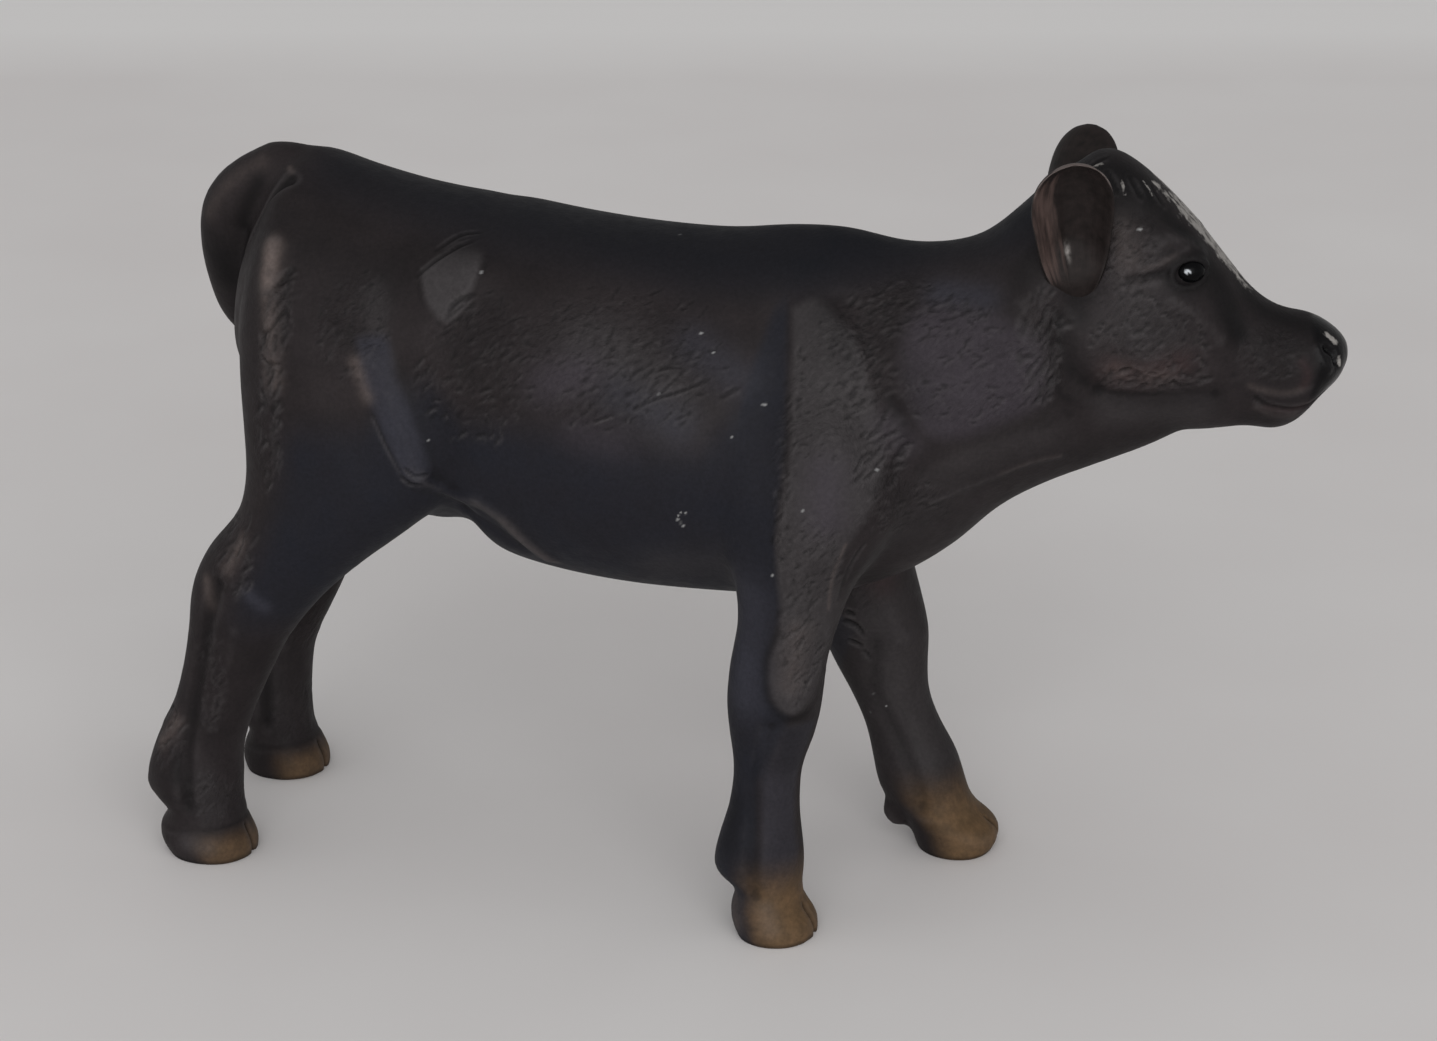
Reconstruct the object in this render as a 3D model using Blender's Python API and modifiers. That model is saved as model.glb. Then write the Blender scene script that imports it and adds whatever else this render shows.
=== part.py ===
"""Standing toy calf, moulded in vinyl: a trunk with a plugged-on head, tail, ears and four plugged-on legs.

Every piece is solid vinyl. Each leg, with its shoulder or haunch, is bonded to the trunk on a flat seam
and located by a round peg and a key pin. The head, the ears and the tail plug in the same way.

The calf faces +X, its left side is +Y, and it stands on Z = 0. The section tables are in millimetres.
"""

import math

import bmesh
import bpy
from mathutils import Matrix, Vector

MM = 0.001

# Driving sizes of the moulding, in millimetres
FRAME_SHIFT = (-1.613, -0.413, 0.0)
SEAM_GAP = 0.3
VOXEL = 0.45
BLEND_PASSES = 9
SKIN_TRIANGLES = 7000
RING_POINTS = 28
STEPS_BETWEEN_SECTIONS = 4
LEG_ROUNDNESS = 2.15
TAIL_SIDES = 12

# The neck turns the head to the calf's left between these two stations
NECK_TURN_DEGREES = 13.0
NECK_TURN_START = 14.0
NECK_TURN_END = 26.0

# Pegs that locate the bonded pieces
LEG_PEG_RADIUS = 2.5
LEG_PEG_LENGTH = 2.6
KEY_PIN_RADIUS = 0.9
KEY_PIN_OFFSET = 4.6
NECK_PEG_RADIUS = 3.0
NECK_PEG_LENGTH = 4.0
TAIL_PEG_RADIUS = 1.1
EAR_PEG_RADIUS = 0.8

# Trunk and neck: top x, z; bottom x, z; half width; how far up it is widest; roundness above and below that
TRUNK_SECTIONS = [
    (-34.7, 43.0, -34.7, 38.4, 1.8, 0.40, 2.0, 2.0),
    (-34.3, 45.4, -34.3, 36.8, 4.0, 0.36, 1.9, 2.0),
    (-33.6, 47.4, -33.6, 36.0, 6.0, 0.38, 1.8, 2.0),
    (-32.4, 49.5, -32.4, 34.6, 7.8, 0.40, 1.8, 2.0),
    (-31.0, 51.6, -31.0, 33.2, 9.0, 0.45, 1.9, 2.0),
    (-29.4, 52.9, -29.4, 31.6, 9.8, 0.52, 1.8, 2.0),
    (-26.0, 51.7, -26.0, 29.4, 10.6, 0.54, 1.8, 2.0),
    (-21.5, 50.8, -21.5, 27.8, 11.0, 0.52, 1.9, 2.0),
    (-17.4, 50.3, -17.4, 27.1, 11.3, 0.50, 1.9, 2.0),
    (-15.8, 50.1, -15.6, 26.4, 11.5, 0.50, 1.9, 2.1),
    (-14.0, 50.0, -14.0, 24.1, 11.7, 0.50, 2.0, 2.1),
    (-9.5, 49.5, -9.5, 23.8, 12.0, 0.48, 2.0, 2.2),
    (-4.0, 49.3, -4.0, 23.4, 12.0, 0.46, 1.9, 2.2),
    (1.5, 49.4, 1.5, 22.9, 11.5, 0.45, 1.8, 2.1),
    (6.0, 50.0, 6.0, 23.2, 10.8, 0.44, 1.7, 2.0),
    (10.0, 50.2, 10.5, 24.0, 10.0, 0.44, 1.7, 2.0),
    (14.0, 49.9, 14.8, 25.6, 9.0, 0.45, 1.8, 1.9),
    (17.2, 50.0, 18.4, 28.1, 8.0, 0.46, 1.9, 1.8),
    (20.0, 51.1, 21.6, 30.9, 7.0, 0.48, 2.0, 1.8),
    (22.6, 53.2, 24.6, 32.9, 6.3, 0.50, 2.0, 1.8),
    (25.2, 55.6, 28.0, 34.6, 5.6, 0.50, 2.0, 1.8),
    (27.6, 56.0, 31.4, 36.0, 4.8, 0.45, 2.0, 1.8),
    (29.5, 54.0, 34.0, 37.2, 3.4, 0.40, 2.0, 1.9),
    (30.6, 51.0, 35.6, 38.6, 1.6, 0.40, 2.0, 2.0),
]

# Head, along the face from the skull to the nose, in the same columns
HEAD_SECTIONS = [
    (25.6, 55.0, 26.0, 45.0, 3.0, 0.50, 2.0, 2.0),
    (27.0, 56.7, 26.7, 41.0, 4.6, 0.50, 2.2, 2.0),
    (28.6, 57.1, 28.2, 39.0, 5.1, 0.50, 2.3, 2.0),
    (30.4, 56.1, 29.8, 37.6, 5.3, 0.52, 2.4, 2.0),
    (32.3, 54.3, 31.4, 37.0, 5.4, 0.56, 2.5, 2.0),
    (34.3, 52.1, 33.0, 36.9, 5.2, 0.60, 2.6, 2.0),
    (36.4, 49.6, 34.8, 37.1, 4.5, 0.56, 2.4, 2.0),
    (38.6, 47.3, 36.6, 37.6, 3.8, 0.50, 2.2, 2.0),
    (40.4, 46.1, 38.4, 38.1, 3.5, 0.46, 2.2, 2.1),
    (42.4, 45.5, 40.3, 37.9, 3.6, 0.50, 2.3, 2.2),
    (43.9, 44.7, 41.9, 38.8, 3.4, 0.52, 2.3, 2.2),
    (44.9, 43.7, 43.2, 40.1, 2.7, 0.52, 2.2, 2.2),
    (45.3, 43.0, 44.4, 41.2, 1.2, 0.50, 2.0, 2.0),
]

# Legs, downwards: height; back and front x; middle y of the right or left leg without its sign; half width
RIGHT_HIND_LEG_SECTIONS = [
    (46.0, -31.8, -24.0, 6.2, 3.2),
    (42.0, -32.3, -19.0, 6.8, 4.8),
    (38.0, -32.3, -16.6, 7.2, 5.2),
    (34.0, -32.1, -15.4, 7.4, 5.2),
    (30.5, -32.1, -16.4, 7.5, 4.8),
    (27.5, -32.9, -19.6, 7.6, 4.3),
    (24.5, -35.3, -23.3, 7.7, 3.8),
    (21.5, -36.7, -26.5, 7.8, 3.4),
    (18.0, -37.2, -29.3, 7.8, 3.0),
    (15.0, -37.8, -30.9, 7.8, 2.7),
    (12.0, -38.7, -32.3, 7.8, 2.6),
    (10.0, -39.8, -33.0, 7.8, 2.8),
    (8.0, -40.7, -33.5, 7.8, 3.1),
    (6.0, -41.1, -33.6, 7.8, 3.2),
    (4.4, -40.5, -33.7, 7.8, 3.0),
    (3.0, -39.6, -33.6, 7.8, 2.9),
    (2.0, -40.2, -33.2, 7.8, 3.2),
    (0.8, -40.2, -32.8, 7.8, 3.4),
    (-0.6, -39.3, -32.9, 7.8, 3.3),
]
LEFT_HIND_LEG_SECTIONS = [
    (46.0, -31.8, -24.0, 6.2, 3.2),
    (42.0, -32.3, -19.0, 6.8, 4.8),
    (38.0, -32.3, -16.8, 7.2, 5.2),
    (34.0, -32.1, -15.8, 7.4, 5.2),
    (30.5, -32.2, -16.6, 7.5, 4.8),
    (27.5, -33.2, -19.6, 7.6, 4.3),
    (24.5, -35.8, -23.8, 7.7, 3.8),
    (21.5, -37.4, -27.5, 7.8, 3.4),
    (18.0, -37.9, -30.6, 7.8, 3.0),
    (15.0, -38.4, -32.3, 7.8, 2.7),
    (12.0, -39.3, -33.7, 7.8, 2.6),
    (10.0, -40.3, -34.4, 7.8, 2.8),
    (8.0, -41.0, -34.8, 7.8, 3.1),
    (6.0, -41.4, -34.9, 7.8, 3.2),
    (4.4, -41.1, -34.7, 7.8, 3.0),
    (3.0, -40.2, -34.6, 7.8, 2.9),
    (2.0, -40.6, -34.0, 7.8, 3.2),
    (0.8, -40.8, -33.4, 7.8, 3.4),
    (-0.6, -40.2, -33.6, 7.8, 3.3),
]
RIGHT_FORE_LEG_SECTIONS = [
    (45.0, 5.0, 11.0, 4.0, 2.0),
    (41.0, 2.4, 14.2, 5.6, 3.6),
    (37.0, 1.8, 16.4, 6.6, 4.6),
    (33.5, 2.6, 17.2, 7.2, 4.9),
    (30.0, 3.9, 15.8, 7.5, 4.4),
    (27.0, 4.8, 13.7, 7.6, 3.9),
    (24.0, 5.1, 12.4, 7.8, 3.5),
    (21.0, 4.6, 11.4, 7.9, 3.3),
    (18.0, 4.3, 11.1, 7.9, 3.3),
    (15.5, 4.5, 10.6, 7.9, 3.0),
    (12.8, 4.8, 9.7, 7.9, 2.6),
    (10.0, 4.5, 9.5, 7.9, 2.6),
    (8.2, 4.0, 9.6, 7.9, 2.9),
    (6.2, 3.5, 9.8, 7.9, 3.1),
    (4.6, 3.8, 9.9, 7.9, 2.9),
    (3.4, 5.0, 9.9, 7.9, 2.7),
    (2.2, 4.7, 10.1, 7.9, 3.1),
    (0.8, 4.8, 11.0, 7.9, 3.4),
    (-0.6, 5.2, 10.9, 7.9, 3.3),
]
LEFT_FORE_LEG_SECTIONS = [
    (45.0, 5.0, 11.0, 4.0, 2.0),
    (41.0, 2.4, 14.2, 5.6, 3.6),
    (37.0, 2.0, 16.2, 6.6, 4.6),
    (33.5, 2.8, 16.8, 7.2, 4.9),
    (30.0, 4.2, 15.3, 7.6, 4.4),
    (27.0, 4.9, 13.2, 8.0, 3.9),
    (24.0, 5.2, 13.0, 8.5, 3.6),
    (20.5, 5.5, 13.6, 8.9, 3.4),
    (17.2, 6.1, 14.2, 9.2, 3.2),
    (14.5, 7.1, 14.2, 9.5, 2.9),
    (12.0, 8.3, 14.2, 9.7, 2.6),
    (9.5, 9.3, 15.0, 9.9, 2.6),
    (7.2, 9.9, 16.1, 10.0, 2.9),
    (5.2, 10.2, 16.8, 10.1, 3.0),
    (3.9, 10.6, 17.2, 10.1, 2.9),
    (2.7, 11.3, 18.1, 10.1, 3.2),
    (1.2, 12.6, 19.8, 10.1, 3.4),
    (-0.6, 13.2, 19.4, 10.1, 3.2),
]

# Dewclaws: x, y, z of each fetlock's pair, a little apart, behind the four feet
DEWCLAWS = [(-39.8, -7.8, 5.6), (-40.5, 7.8, 5.6), (4.8, -7.9, 5.4), (11.6, 10.1, 2.0)]
DEWCLAW_RADIUS = 0.95
DEWCLAW_SPREAD = 1.3

# Toes: the front of each cloven hoof, x and y, and the slot between its two claws
TOES = {
    "hind_leg_right": (-32.5, -7.8),
    "hind_leg_left": (-33.4, 7.8),
    "fore_leg_right": (11.0, -7.9),
    "fore_leg_left": (19.8, 10.1),
}
CLEFT_WIDTH = 0.5
CLEFT_DEPTH = 2.2
CLEFT_HEIGHT = 2.5

# Eyes stand proud of the straight head; nostrils are sunk in the nose
EYE = (33.7, 4.1, 49.8)
EYE_RADIUS = 1.05
NOSTRIL = (44.5, 1.7, 43.6)
NOSTRIL_RADIUS = 0.55

# Tail, from its root to its tuft: x, y, z of the middle, then the radius
TAIL_SECTIONS = [
    (-29.2, 0.1, 49.8, 1.5),
    (-30.8, 0.1, 50.7, 2.0),
    (-32.6, 0.0, 50.4, 2.2),
    (-34.5, 0.1, 49.2, 2.3),
    (-35.9, 0.3, 47.5, 2.35),
    (-36.3, 0.6, 45.2, 2.3),
    (-36.3, 1.3, 42.4, 2.2),
    (-36.3, 2.6, 39.6, 1.9),
    (-35.1, 4.4, 36.6, 1.7),
    (-34.8, 6.0, 34.0, 1.7),
    (-34.8, 6.8, 31.8, 1.2),
    (-34.9, 7.2, 30.4, 0.5),
]
TAIL_PEG_START = (-36.8, 0.3, 47.8)
TAIL_PEG_END = (-31.6, 0.0, 46.4)

# Seam outlines on the calf's side, x and z: an arch over the haunch and over the shoulder, open below
HAUNCH_SEAM = [
    (-46.0, -3.0), (-46.0, 34.0), (-38.0, 42.0), (-30.0, 44.5), (-22.0, 43.5), (-16.5, 39.5),
    (-14.2, 33.5), (-15.2, 27.8), (-18.5, 24.0), (-21.0, 15.0), (-26.0, -3.0),
]
SHOULDER_SEAM = [
    (-1.0, -3.0), (1.2, 15.0), (2.2, 24.0), (1.0, 31.0), (3.0, 38.5), (9.0, 42.0), (15.0, 39.0),
    (17.6, 33.0), (17.2, 27.2), (18.4, 24.0), (24.0, 12.0), (26.0, -3.0),
]
INNER_FACE_Y = 3.9
HAUNCH_PEG = (-25.0, 36.0)
SHOULDER_PEG = (9.5, 35.0)

# Neck seam: a plane through this point of the straight neck, leaning like the neck behind the ears
NECK_SEAM_POINT = (25.4, 0.0, 45.5)
NECK_SEAM_LEAN_DEGREES = 8.0

# Ear: half width, half thickness and half height of its leaf, and how far the hollow is moved out of it
EAR_HALF_SIZES = (3.0, 1.8, 5.3)
EAR_HOLLOW_SHARE = 0.80
EAR_HOLLOW_SHIFT = 1.1
EAR_ROOT_SHARE = 0.50

# Ears on the straight head: side, root x, y, z; degrees splayed out, leaned forward, and turned to the front
EARS = {
    "ear_right": (-1, (26.7, 4.4, 47.4), 20.0, -3.0, 14.0),
    "ear_left": (1, (26.9, 4.4, 46.8), 22.0, -3.0, 32.0),
}
EAR_PEG_RISE = 2.8
EAR_PEG_REACH = (1.0, -2.8, -0.6)

COAT = (0.035, 0.032, 0.034)
EAR_INNER = (0.07, 0.04, 0.035)


def millimetres(*point):
    return Vector(point) * MM


def smooth_step(value):
    value = min(1.0, max(0.0, value))
    return value * value * (3.0 - 2.0 * value)


def turned(point):
    """A point of the straight calf, in millimetres, moved to where the turned neck carries it."""
    x, y, z = point
    steps = 24
    span = NECK_TURN_END - NECK_TURN_START
    full = math.radians(NECK_TURN_DEGREES)
    if x <= NECK_TURN_START:
        return Vector((x, y, z))
    line_x = NECK_TURN_START
    line_y = 0.0
    step = (min(x, NECK_TURN_END) - NECK_TURN_START) / steps
    for index in range(steps):
        angle = full * smooth_step((index + 0.5) * step / span)
        line_x += step * math.cos(angle)
        line_y += step * math.sin(angle)
    angle = full * smooth_step((x - NECK_TURN_START) / span)
    beyond = max(0.0, x - NECK_TURN_END)
    line_x += beyond * math.cos(angle)
    line_y += beyond * math.sin(angle)
    return Vector((line_x - y * math.sin(angle), line_y + y * math.cos(angle), z))


def between(rows):
    """The rows with smooth in-between rows added, as a Catmull-Rom curve through them."""
    found = []
    last = len(rows) - 1
    for index in range(last):
        before = rows[max(index - 1, 0)]
        here = rows[index]
        after = rows[index + 1]
        beyond = rows[min(index + 2, last)]
        for step in range(STEPS_BETWEEN_SECTIONS):
            t = step / STEPS_BETWEEN_SECTIONS
            row = []
            for a, b, c, d in zip(before, here, after, beyond):
                curve = 2 * b + (c - a) * t
                curve += (2 * a - 5 * b + 4 * c - d) * t**2
                curve += (3 * b - a - 3 * c + d) * t**3
                row.append(curve / 2)
            found.append(row)
    found.append(list(rows[last]))
    return found


def rounded(angle, roundness):
    """Across and up shares of a superellipse at an angle: 2 is an ellipse, more is boxier."""
    c, s = math.cos(angle), math.sin(angle)
    power = 2.0 / roundness
    return math.copysign(abs(c) ** power, c), math.copysign(abs(s) ** power, s)


def standing_ring(row):
    """One cross section of the trunk or the head, between its top and bottom points."""
    top_x, top_z, bottom_x, bottom_z, half_width, widest, round_top, round_bottom = row
    ring = []
    for index in range(RING_POINTS):
        angle = 2 * math.pi * index / RING_POINTS
        across, up = rounded(angle, round_top if math.sin(angle) >= 0 else round_bottom)
        share = widest + up * ((1 - widest) if up >= 0 else widest)
        x = bottom_x + (top_x - bottom_x) * share
        z = bottom_z + (top_z - bottom_z) * share
        ring.append(turned((x, across * half_width, z)) * MM)
    return ring


def level_ring(row, side):
    """One level cross section of a leg on the left (+1) or the right (-1)."""
    z, back, front, middle_y, half_width = row
    ring = []
    for index in range(RING_POINTS):
        across, along = rounded(2 * math.pi * index / RING_POINTS, LEG_ROUNDNESS)
        x = (back + front) / 2 + along * (front - back) / 2
        ring.append(millimetres(x, side * (middle_y + across * half_width), z))
    return ring


def loft(name, rings):
    """A closed mesh through rings of the same number of points, with a flat cap at each end."""
    mesh = bmesh.new()
    rows = [[mesh.verts.new(point) for point in ring] for ring in rings]
    count = len(rows[0])
    for lower, upper in zip(rows, rows[1:]):
        for index in range(count):
            after = (index + 1) % count
            mesh.faces.new((lower[index], lower[after], upper[after], upper[index]))
    mesh.faces.new(rows[0])
    mesh.faces.new(rows[-1])
    bmesh.ops.recalc_face_normals(mesh, faces=mesh.faces)
    data = bpy.data.meshes.new(name)
    mesh.to_mesh(data)
    mesh.free()
    return new_object(name, data)


def new_object(name, data):
    piece = bpy.data.objects.new(name, data)
    figure_collection.objects.link(piece)
    return piece


def evaluated(piece):
    """The piece with its modifiers baked into its mesh."""
    bpy.context.view_layer.update()
    graph = bpy.context.evaluated_depsgraph_get()
    data = bpy.data.meshes.new_from_object(piece.evaluated_get(graph))
    data.name = piece.name
    piece.modifiers.clear()
    piece.data = data
    return piece


def as_cutter(piece):
    """Moves a guide shape to the cutters, out of the render."""
    figure_collection.objects.unlink(piece)
    cutter_collection.objects.link(piece)
    piece.hide_render = True
    piece.display_type = "WIRE"
    return piece


def boolean(piece, other, operation):
    modifier = piece.modifiers.new(operation.lower(), "BOOLEAN")
    modifier.operation = operation
    modifier.object = other
    return evaluated(piece)


def copy_of(piece, name):
    return new_object(name, piece.data.copy())


def remove(piece):
    bpy.data.objects.remove(piece)


def fattened(piece, name, grow):
    """A copy of a piece grown outwards on all sides, used to cut a neighbour clear of it."""
    bigger = copy_of(piece, name)
    displace = bigger.modifiers.new("grow", "DISPLACE")
    displace.direction = "NORMAL"
    displace.strength = grow * MM
    displace.mid_level = 0.0
    return as_cutter(evaluated(bigger))


def outline_cutter(name, outline, low_y, high_y, grow):
    """A plate of this side outline between two y planes, grown all round by the seam gap where asked."""
    curve = bpy.data.curves.new(name, "CURVE")
    curve.dimensions = "2D"
    curve.fill_mode = "BOTH"
    curve.extrude = (high_y - low_y) / 2 * MM
    curve.offset = grow * MM
    curve.resolution_u = 5
    spline = curve.splines.new("BEZIER")
    spline.bezier_points.add(len(outline) - 1)
    for knot, (x, z) in zip(spline.bezier_points, outline):
        knot.co = (x * MM, z * MM, 0)
        knot.handle_left_type = "AUTO"
        knot.handle_right_type = "AUTO"
    spline.use_cyclic_u = True
    flat = new_object(name + "_outline", curve)
    flat.rotation_euler = (math.radians(90), 0, 0)
    flat.location = (0, (low_y + high_y) / 2 * MM, 0)
    bpy.context.view_layer.update()
    graph = bpy.context.evaluated_depsgraph_get()
    data = bpy.data.meshes.new_from_object(flat.evaluated_get(graph))
    mesh = bmesh.new()
    mesh.from_mesh(data)
    bmesh.ops.remove_doubles(mesh, verts=mesh.verts, dist=0.00001)
    bmesh.ops.recalc_face_normals(mesh, faces=mesh.faces)
    mesh.transform(flat.matrix_world)
    mesh.to_mesh(data)
    mesh.free()
    remove(flat)
    return as_cutter(new_object(name, data))


def cylinder(name, radius, start, end, segments=20):
    """A peg or a socket cutter between two points in millimetres."""
    start, end = Vector(start) * MM, Vector(end) * MM
    depth = (end - start).length
    wide = radius * MM
    mesh = bmesh.new()
    bmesh.ops.create_cone(mesh, cap_ends=True, segments=segments, radius1=wide, radius2=wide, depth=depth)
    turn = (end - start).to_track_quat("Z", "Y").to_matrix().to_4x4()
    mesh.transform(Matrix.Translation((start + end) / 2) @ turn)
    data = bpy.data.meshes.new(name)
    mesh.to_mesh(data)
    mesh.free()
    return as_cutter(new_object(name, data))


def peg_joint(holder, plug, radius, start, end):
    """A peg on the plug that reaches from start, inside it, to end, and its clear socket in the holder."""
    start, end = Vector(start), Vector(end)
    direction = (end - start).normalized()
    socket = cylinder("socket", radius + SEAM_GAP, start, end + direction * SEAM_GAP)
    boolean(holder, socket, "DIFFERENCE")
    remove(socket)
    peg = cylinder("peg", radius, start, end)
    boolean(plug, peg, "UNION")
    remove(peg)


def box(name, low, high):
    """A box between two corners in millimetres."""
    mesh = bmesh.new()
    bmesh.ops.create_cube(mesh, size=1.0)
    size = [(b - a) * MM for a, b in zip(low, high)]
    middle = [(a + b) / 2 * MM for a, b in zip(low, high)]
    mesh.transform(Matrix.Translation(middle) @ Matrix.Diagonal((*size, 1)))
    data = bpy.data.meshes.new(name)
    mesh.to_mesh(data)
    mesh.free()
    return as_cutter(new_object(name, data))


def whole_skin():
    """The trunk, head and legs as one smooth skin, before it is parted into mouldings."""
    forms = [
        loft("trunk", [standing_ring(row) for row in between(TRUNK_SECTIONS)]),
        loft("head", [standing_ring(row) for row in between(HEAD_SECTIONS)]),
        loft("hind_right", [level_ring(row, -1) for row in between(RIGHT_HIND_LEG_SECTIONS)]),
        loft("hind_left", [level_ring(row, 1) for row in between(LEFT_HIND_LEG_SECTIONS)]),
        loft("fore_right", [level_ring(row, -1) for row in between(RIGHT_FORE_LEG_SECTIONS)]),
        loft("fore_left", [level_ring(row, 1) for row in between(LEFT_FORE_LEG_SECTIONS)]),
    ]
    joined = bmesh.new()
    for form in forms:
        joined.from_mesh(form.data)
        remove(form)
    for x, y, z in DEWCLAWS:
        for side in (-1, 1):
            place = Matrix.Translation(millimetres(x, y + side * DEWCLAW_SPREAD, z))
            bmesh.ops.create_icosphere(joined, subdivisions=2, radius=DEWCLAW_RADIUS * MM, matrix=place)
    data = bpy.data.meshes.new("skin")
    joined.to_mesh(data)
    joined.free()
    skin = new_object("skin", data)
    remesh = skin.modifiers.new("one_skin", "REMESH")
    remesh.mode = "VOXEL"
    remesh.voxel_size = VOXEL * MM
    smooth = skin.modifiers.new("blend", "SMOOTH")
    smooth.factor = 0.5
    smooth.iterations = BLEND_PASSES
    evaluated(skin)
    thin = skin.modifiers.new("thin_out", "DECIMATE")
    thin.ratio = SKIN_TRIANGLES / (2 * len(skin.data.polygons))
    return evaluated(skin)


def ball(name, radius, middle):
    """A ball with its middle at this point, in millimetres."""
    mesh = bmesh.new()
    place = Matrix.Translation(Vector(middle) * MM)
    bmesh.ops.create_icosphere(mesh, subdivisions=2, radius=radius * MM, matrix=place)
    data = bpy.data.meshes.new(name)
    mesh.to_mesh(data)
    mesh.free()
    return as_cutter(new_object(name, data))


def face_details(head):
    """Raises the eyes from the head and sinks the nostrils into its nose."""
    details = ((EYE, EYE_RADIUS, "UNION"), (NOSTRIL, NOSTRIL_RADIUS, "DIFFERENCE"))
    for side in (-1, 1):
        for (x, y, z), radius, operation in details:
            shape = ball("face_detail", radius, turned((x, side * y, z)))
            boolean(head, shape, operation)
            remove(shape)


def cloven(leg):
    """Cuts the slot between the two claws, from the toe back."""
    x, y = TOES[leg.name]
    low = (x - CLEFT_DEPTH, y - CLEFT_WIDTH / 2, -1.0)
    high = (x + 2.0, y + CLEFT_WIDTH / 2, CLEFT_HEIGHT)
    slot = box("cleft", low, high)
    boolean(leg, slot, "DIFFERENCE")
    remove(slot)


def soles_cut(piece):
    """Cuts the hoofs off flat where the calf stands."""
    floor = box("floor", (-60, -30, -10), (60, 30, 0))
    boolean(piece, floor, "DIFFERENCE")
    remove(floor)


def leg_from(skin, name, outline, side, peg):
    """Parts one leg, with its shoulder or haunch, from the skin; returns the leg."""
    low, high = sorted((side * INNER_FACE_Y, side * 30.0))
    leg = copy_of(skin, name)
    inside = outline_cutter(name + "_inside", outline, low, high, 0.0)
    boolean(leg, inside, "INTERSECT")
    remove(inside)
    near = side * (INNER_FACE_Y - SEAM_GAP)
    low, high = sorted((near, side * 30.0))
    clear = outline_cutter(name + "_clear", outline, low, high, SEAM_GAP)
    boolean(skin, clear, "DIFFERENCE")
    remove(clear)
    x, z = peg
    start = (x, side * (INNER_FACE_Y + 1.0), z)
    end = (x, side * (INNER_FACE_Y - LEG_PEG_LENGTH), z)
    peg_joint(skin, leg, LEG_PEG_RADIUS, start, end)
    start = (x, side * (INNER_FACE_Y + 1.0), z - KEY_PIN_OFFSET)
    end = (x, side * (INNER_FACE_Y - LEG_PEG_LENGTH / 2), z - KEY_PIN_OFFSET)
    peg_joint(skin, leg, KEY_PIN_RADIUS, start, end)
    return leg


def head_from(skin):
    """Parts the head from the neck on a leaning plane; the skin keeps the neck."""
    lean = Matrix.Rotation(math.radians(NECK_SEAM_LEAN_DEGREES), 4, "Y")
    turn = Matrix.Rotation(math.radians(NECK_TURN_DEGREES), 4, "Z")
    place = Matrix.Translation(turned(NECK_SEAM_POINT) * MM) @ turn @ lean
    head = copy_of(skin, "head")
    ahead = box("ahead", (0, -20, -20), (40, 20, 20))
    ahead.matrix_world = place
    boolean(head, ahead, "INTERSECT")
    ahead.matrix_world = place @ Matrix.Translation((-SEAM_GAP * MM, 0, 0))
    boolean(skin, ahead, "DIFFERENCE")
    remove(ahead)
    start = place @ Vector((1.0 * MM, 0, 0)) / MM
    end = place @ Vector((-NECK_PEG_LENGTH * MM, 0, 0)) / MM
    peg_joint(skin, head, NECK_PEG_RADIUS, start, end)
    return head


def tail_piece():
    """The tail: a tapering tube of round sections from the rump to its tuft."""
    rows = between(TAIL_SECTIONS)
    rings = []
    for index, (x, y, z, radius) in enumerate(rows):
        before = Vector(rows[max(index - 1, 0)][:3])
        after = Vector(rows[min(index + 1, len(rows) - 1)][:3])
        along = (after - before).normalized()
        side = Vector((0, 1, 0)).cross(along).normalized()
        across = along.cross(side)
        ring = []
        for step in range(TAIL_SIDES):
            angle = 2 * math.pi * step / TAIL_SIDES
            spoke = side * math.cos(angle) + across * math.sin(angle)
            ring.append((Vector((x, y, z)) + spoke * radius) * MM)
        rings.append(ring)
    return loft("tail", rings)


def leaf(name, sizes, place):
    """A pointed-root ellipsoid of these half sizes, standing on the origin before it is placed."""
    mesh = bmesh.new()
    bmesh.ops.create_uvsphere(mesh, u_segments=20, v_segments=14, radius=1.0)
    for vertex in mesh.verts:
        x, y, z = vertex.co
        share = EAR_ROOT_SHARE + (1 - EAR_ROOT_SHARE) * smooth_step((z + 1.0) / 1.3)
        vertex.co = millimetres(x * sizes[0] * share, y * sizes[1] * share, (z + 1.0) * sizes[2])
    mesh.transform(place)
    data = bpy.data.meshes.new(name)
    mesh.to_mesh(data)
    mesh.free()
    return new_object(name, data)


def ear_place(name):
    """Where the ear's root stands on the turned head."""
    side, root, splay, lean, turn = EARS[name]
    return (
        Matrix.Translation(turned((root[0], side * root[1], root[2])) * MM)
        @ Matrix.Rotation(math.radians(NECK_TURN_DEGREES), 4, "Z")
        @ Matrix.Rotation(-side * math.radians(splay), 4, "X")
        @ Matrix.Rotation(math.radians(lean), 4, "Y")
        @ Matrix.Rotation(-side * math.radians(turn), 4, "Z")
    )


def ear_piece(name, head, skin_clear):
    """A cupped leaf that stands on the side of the head, its hollow facing outwards, with its peg."""
    side = EARS[name][0]
    place = ear_place(name)
    ear = leaf(name, EAR_HALF_SIZES, place)
    sizes = [size * EAR_HOLLOW_SHARE for size in EAR_HALF_SIZES]
    rise = EAR_HALF_SIZES[2] * (1 - EAR_HOLLOW_SHARE) * 1.2
    shift = Matrix.Translation(millimetres(0, side * EAR_HOLLOW_SHIFT, rise))
    hollow = as_cutter(leaf(name + "_hollow", sizes, place @ shift))
    boolean(ear, hollow, "DIFFERENCE")
    remove(hollow)
    boolean(ear, skin_clear, "DIFFERENCE")
    start = place @ millimetres(0, -side * 0.4, EAR_PEG_RISE) / MM
    turn = Matrix.Rotation(math.radians(NECK_TURN_DEGREES), 3, "Z")
    reach = turn @ Vector((EAR_PEG_REACH[0], side * EAR_PEG_REACH[1], EAR_PEG_REACH[2]))
    peg_joint(head, ear, EAR_PEG_RADIUS, start, start + reach)
    return ear


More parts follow.
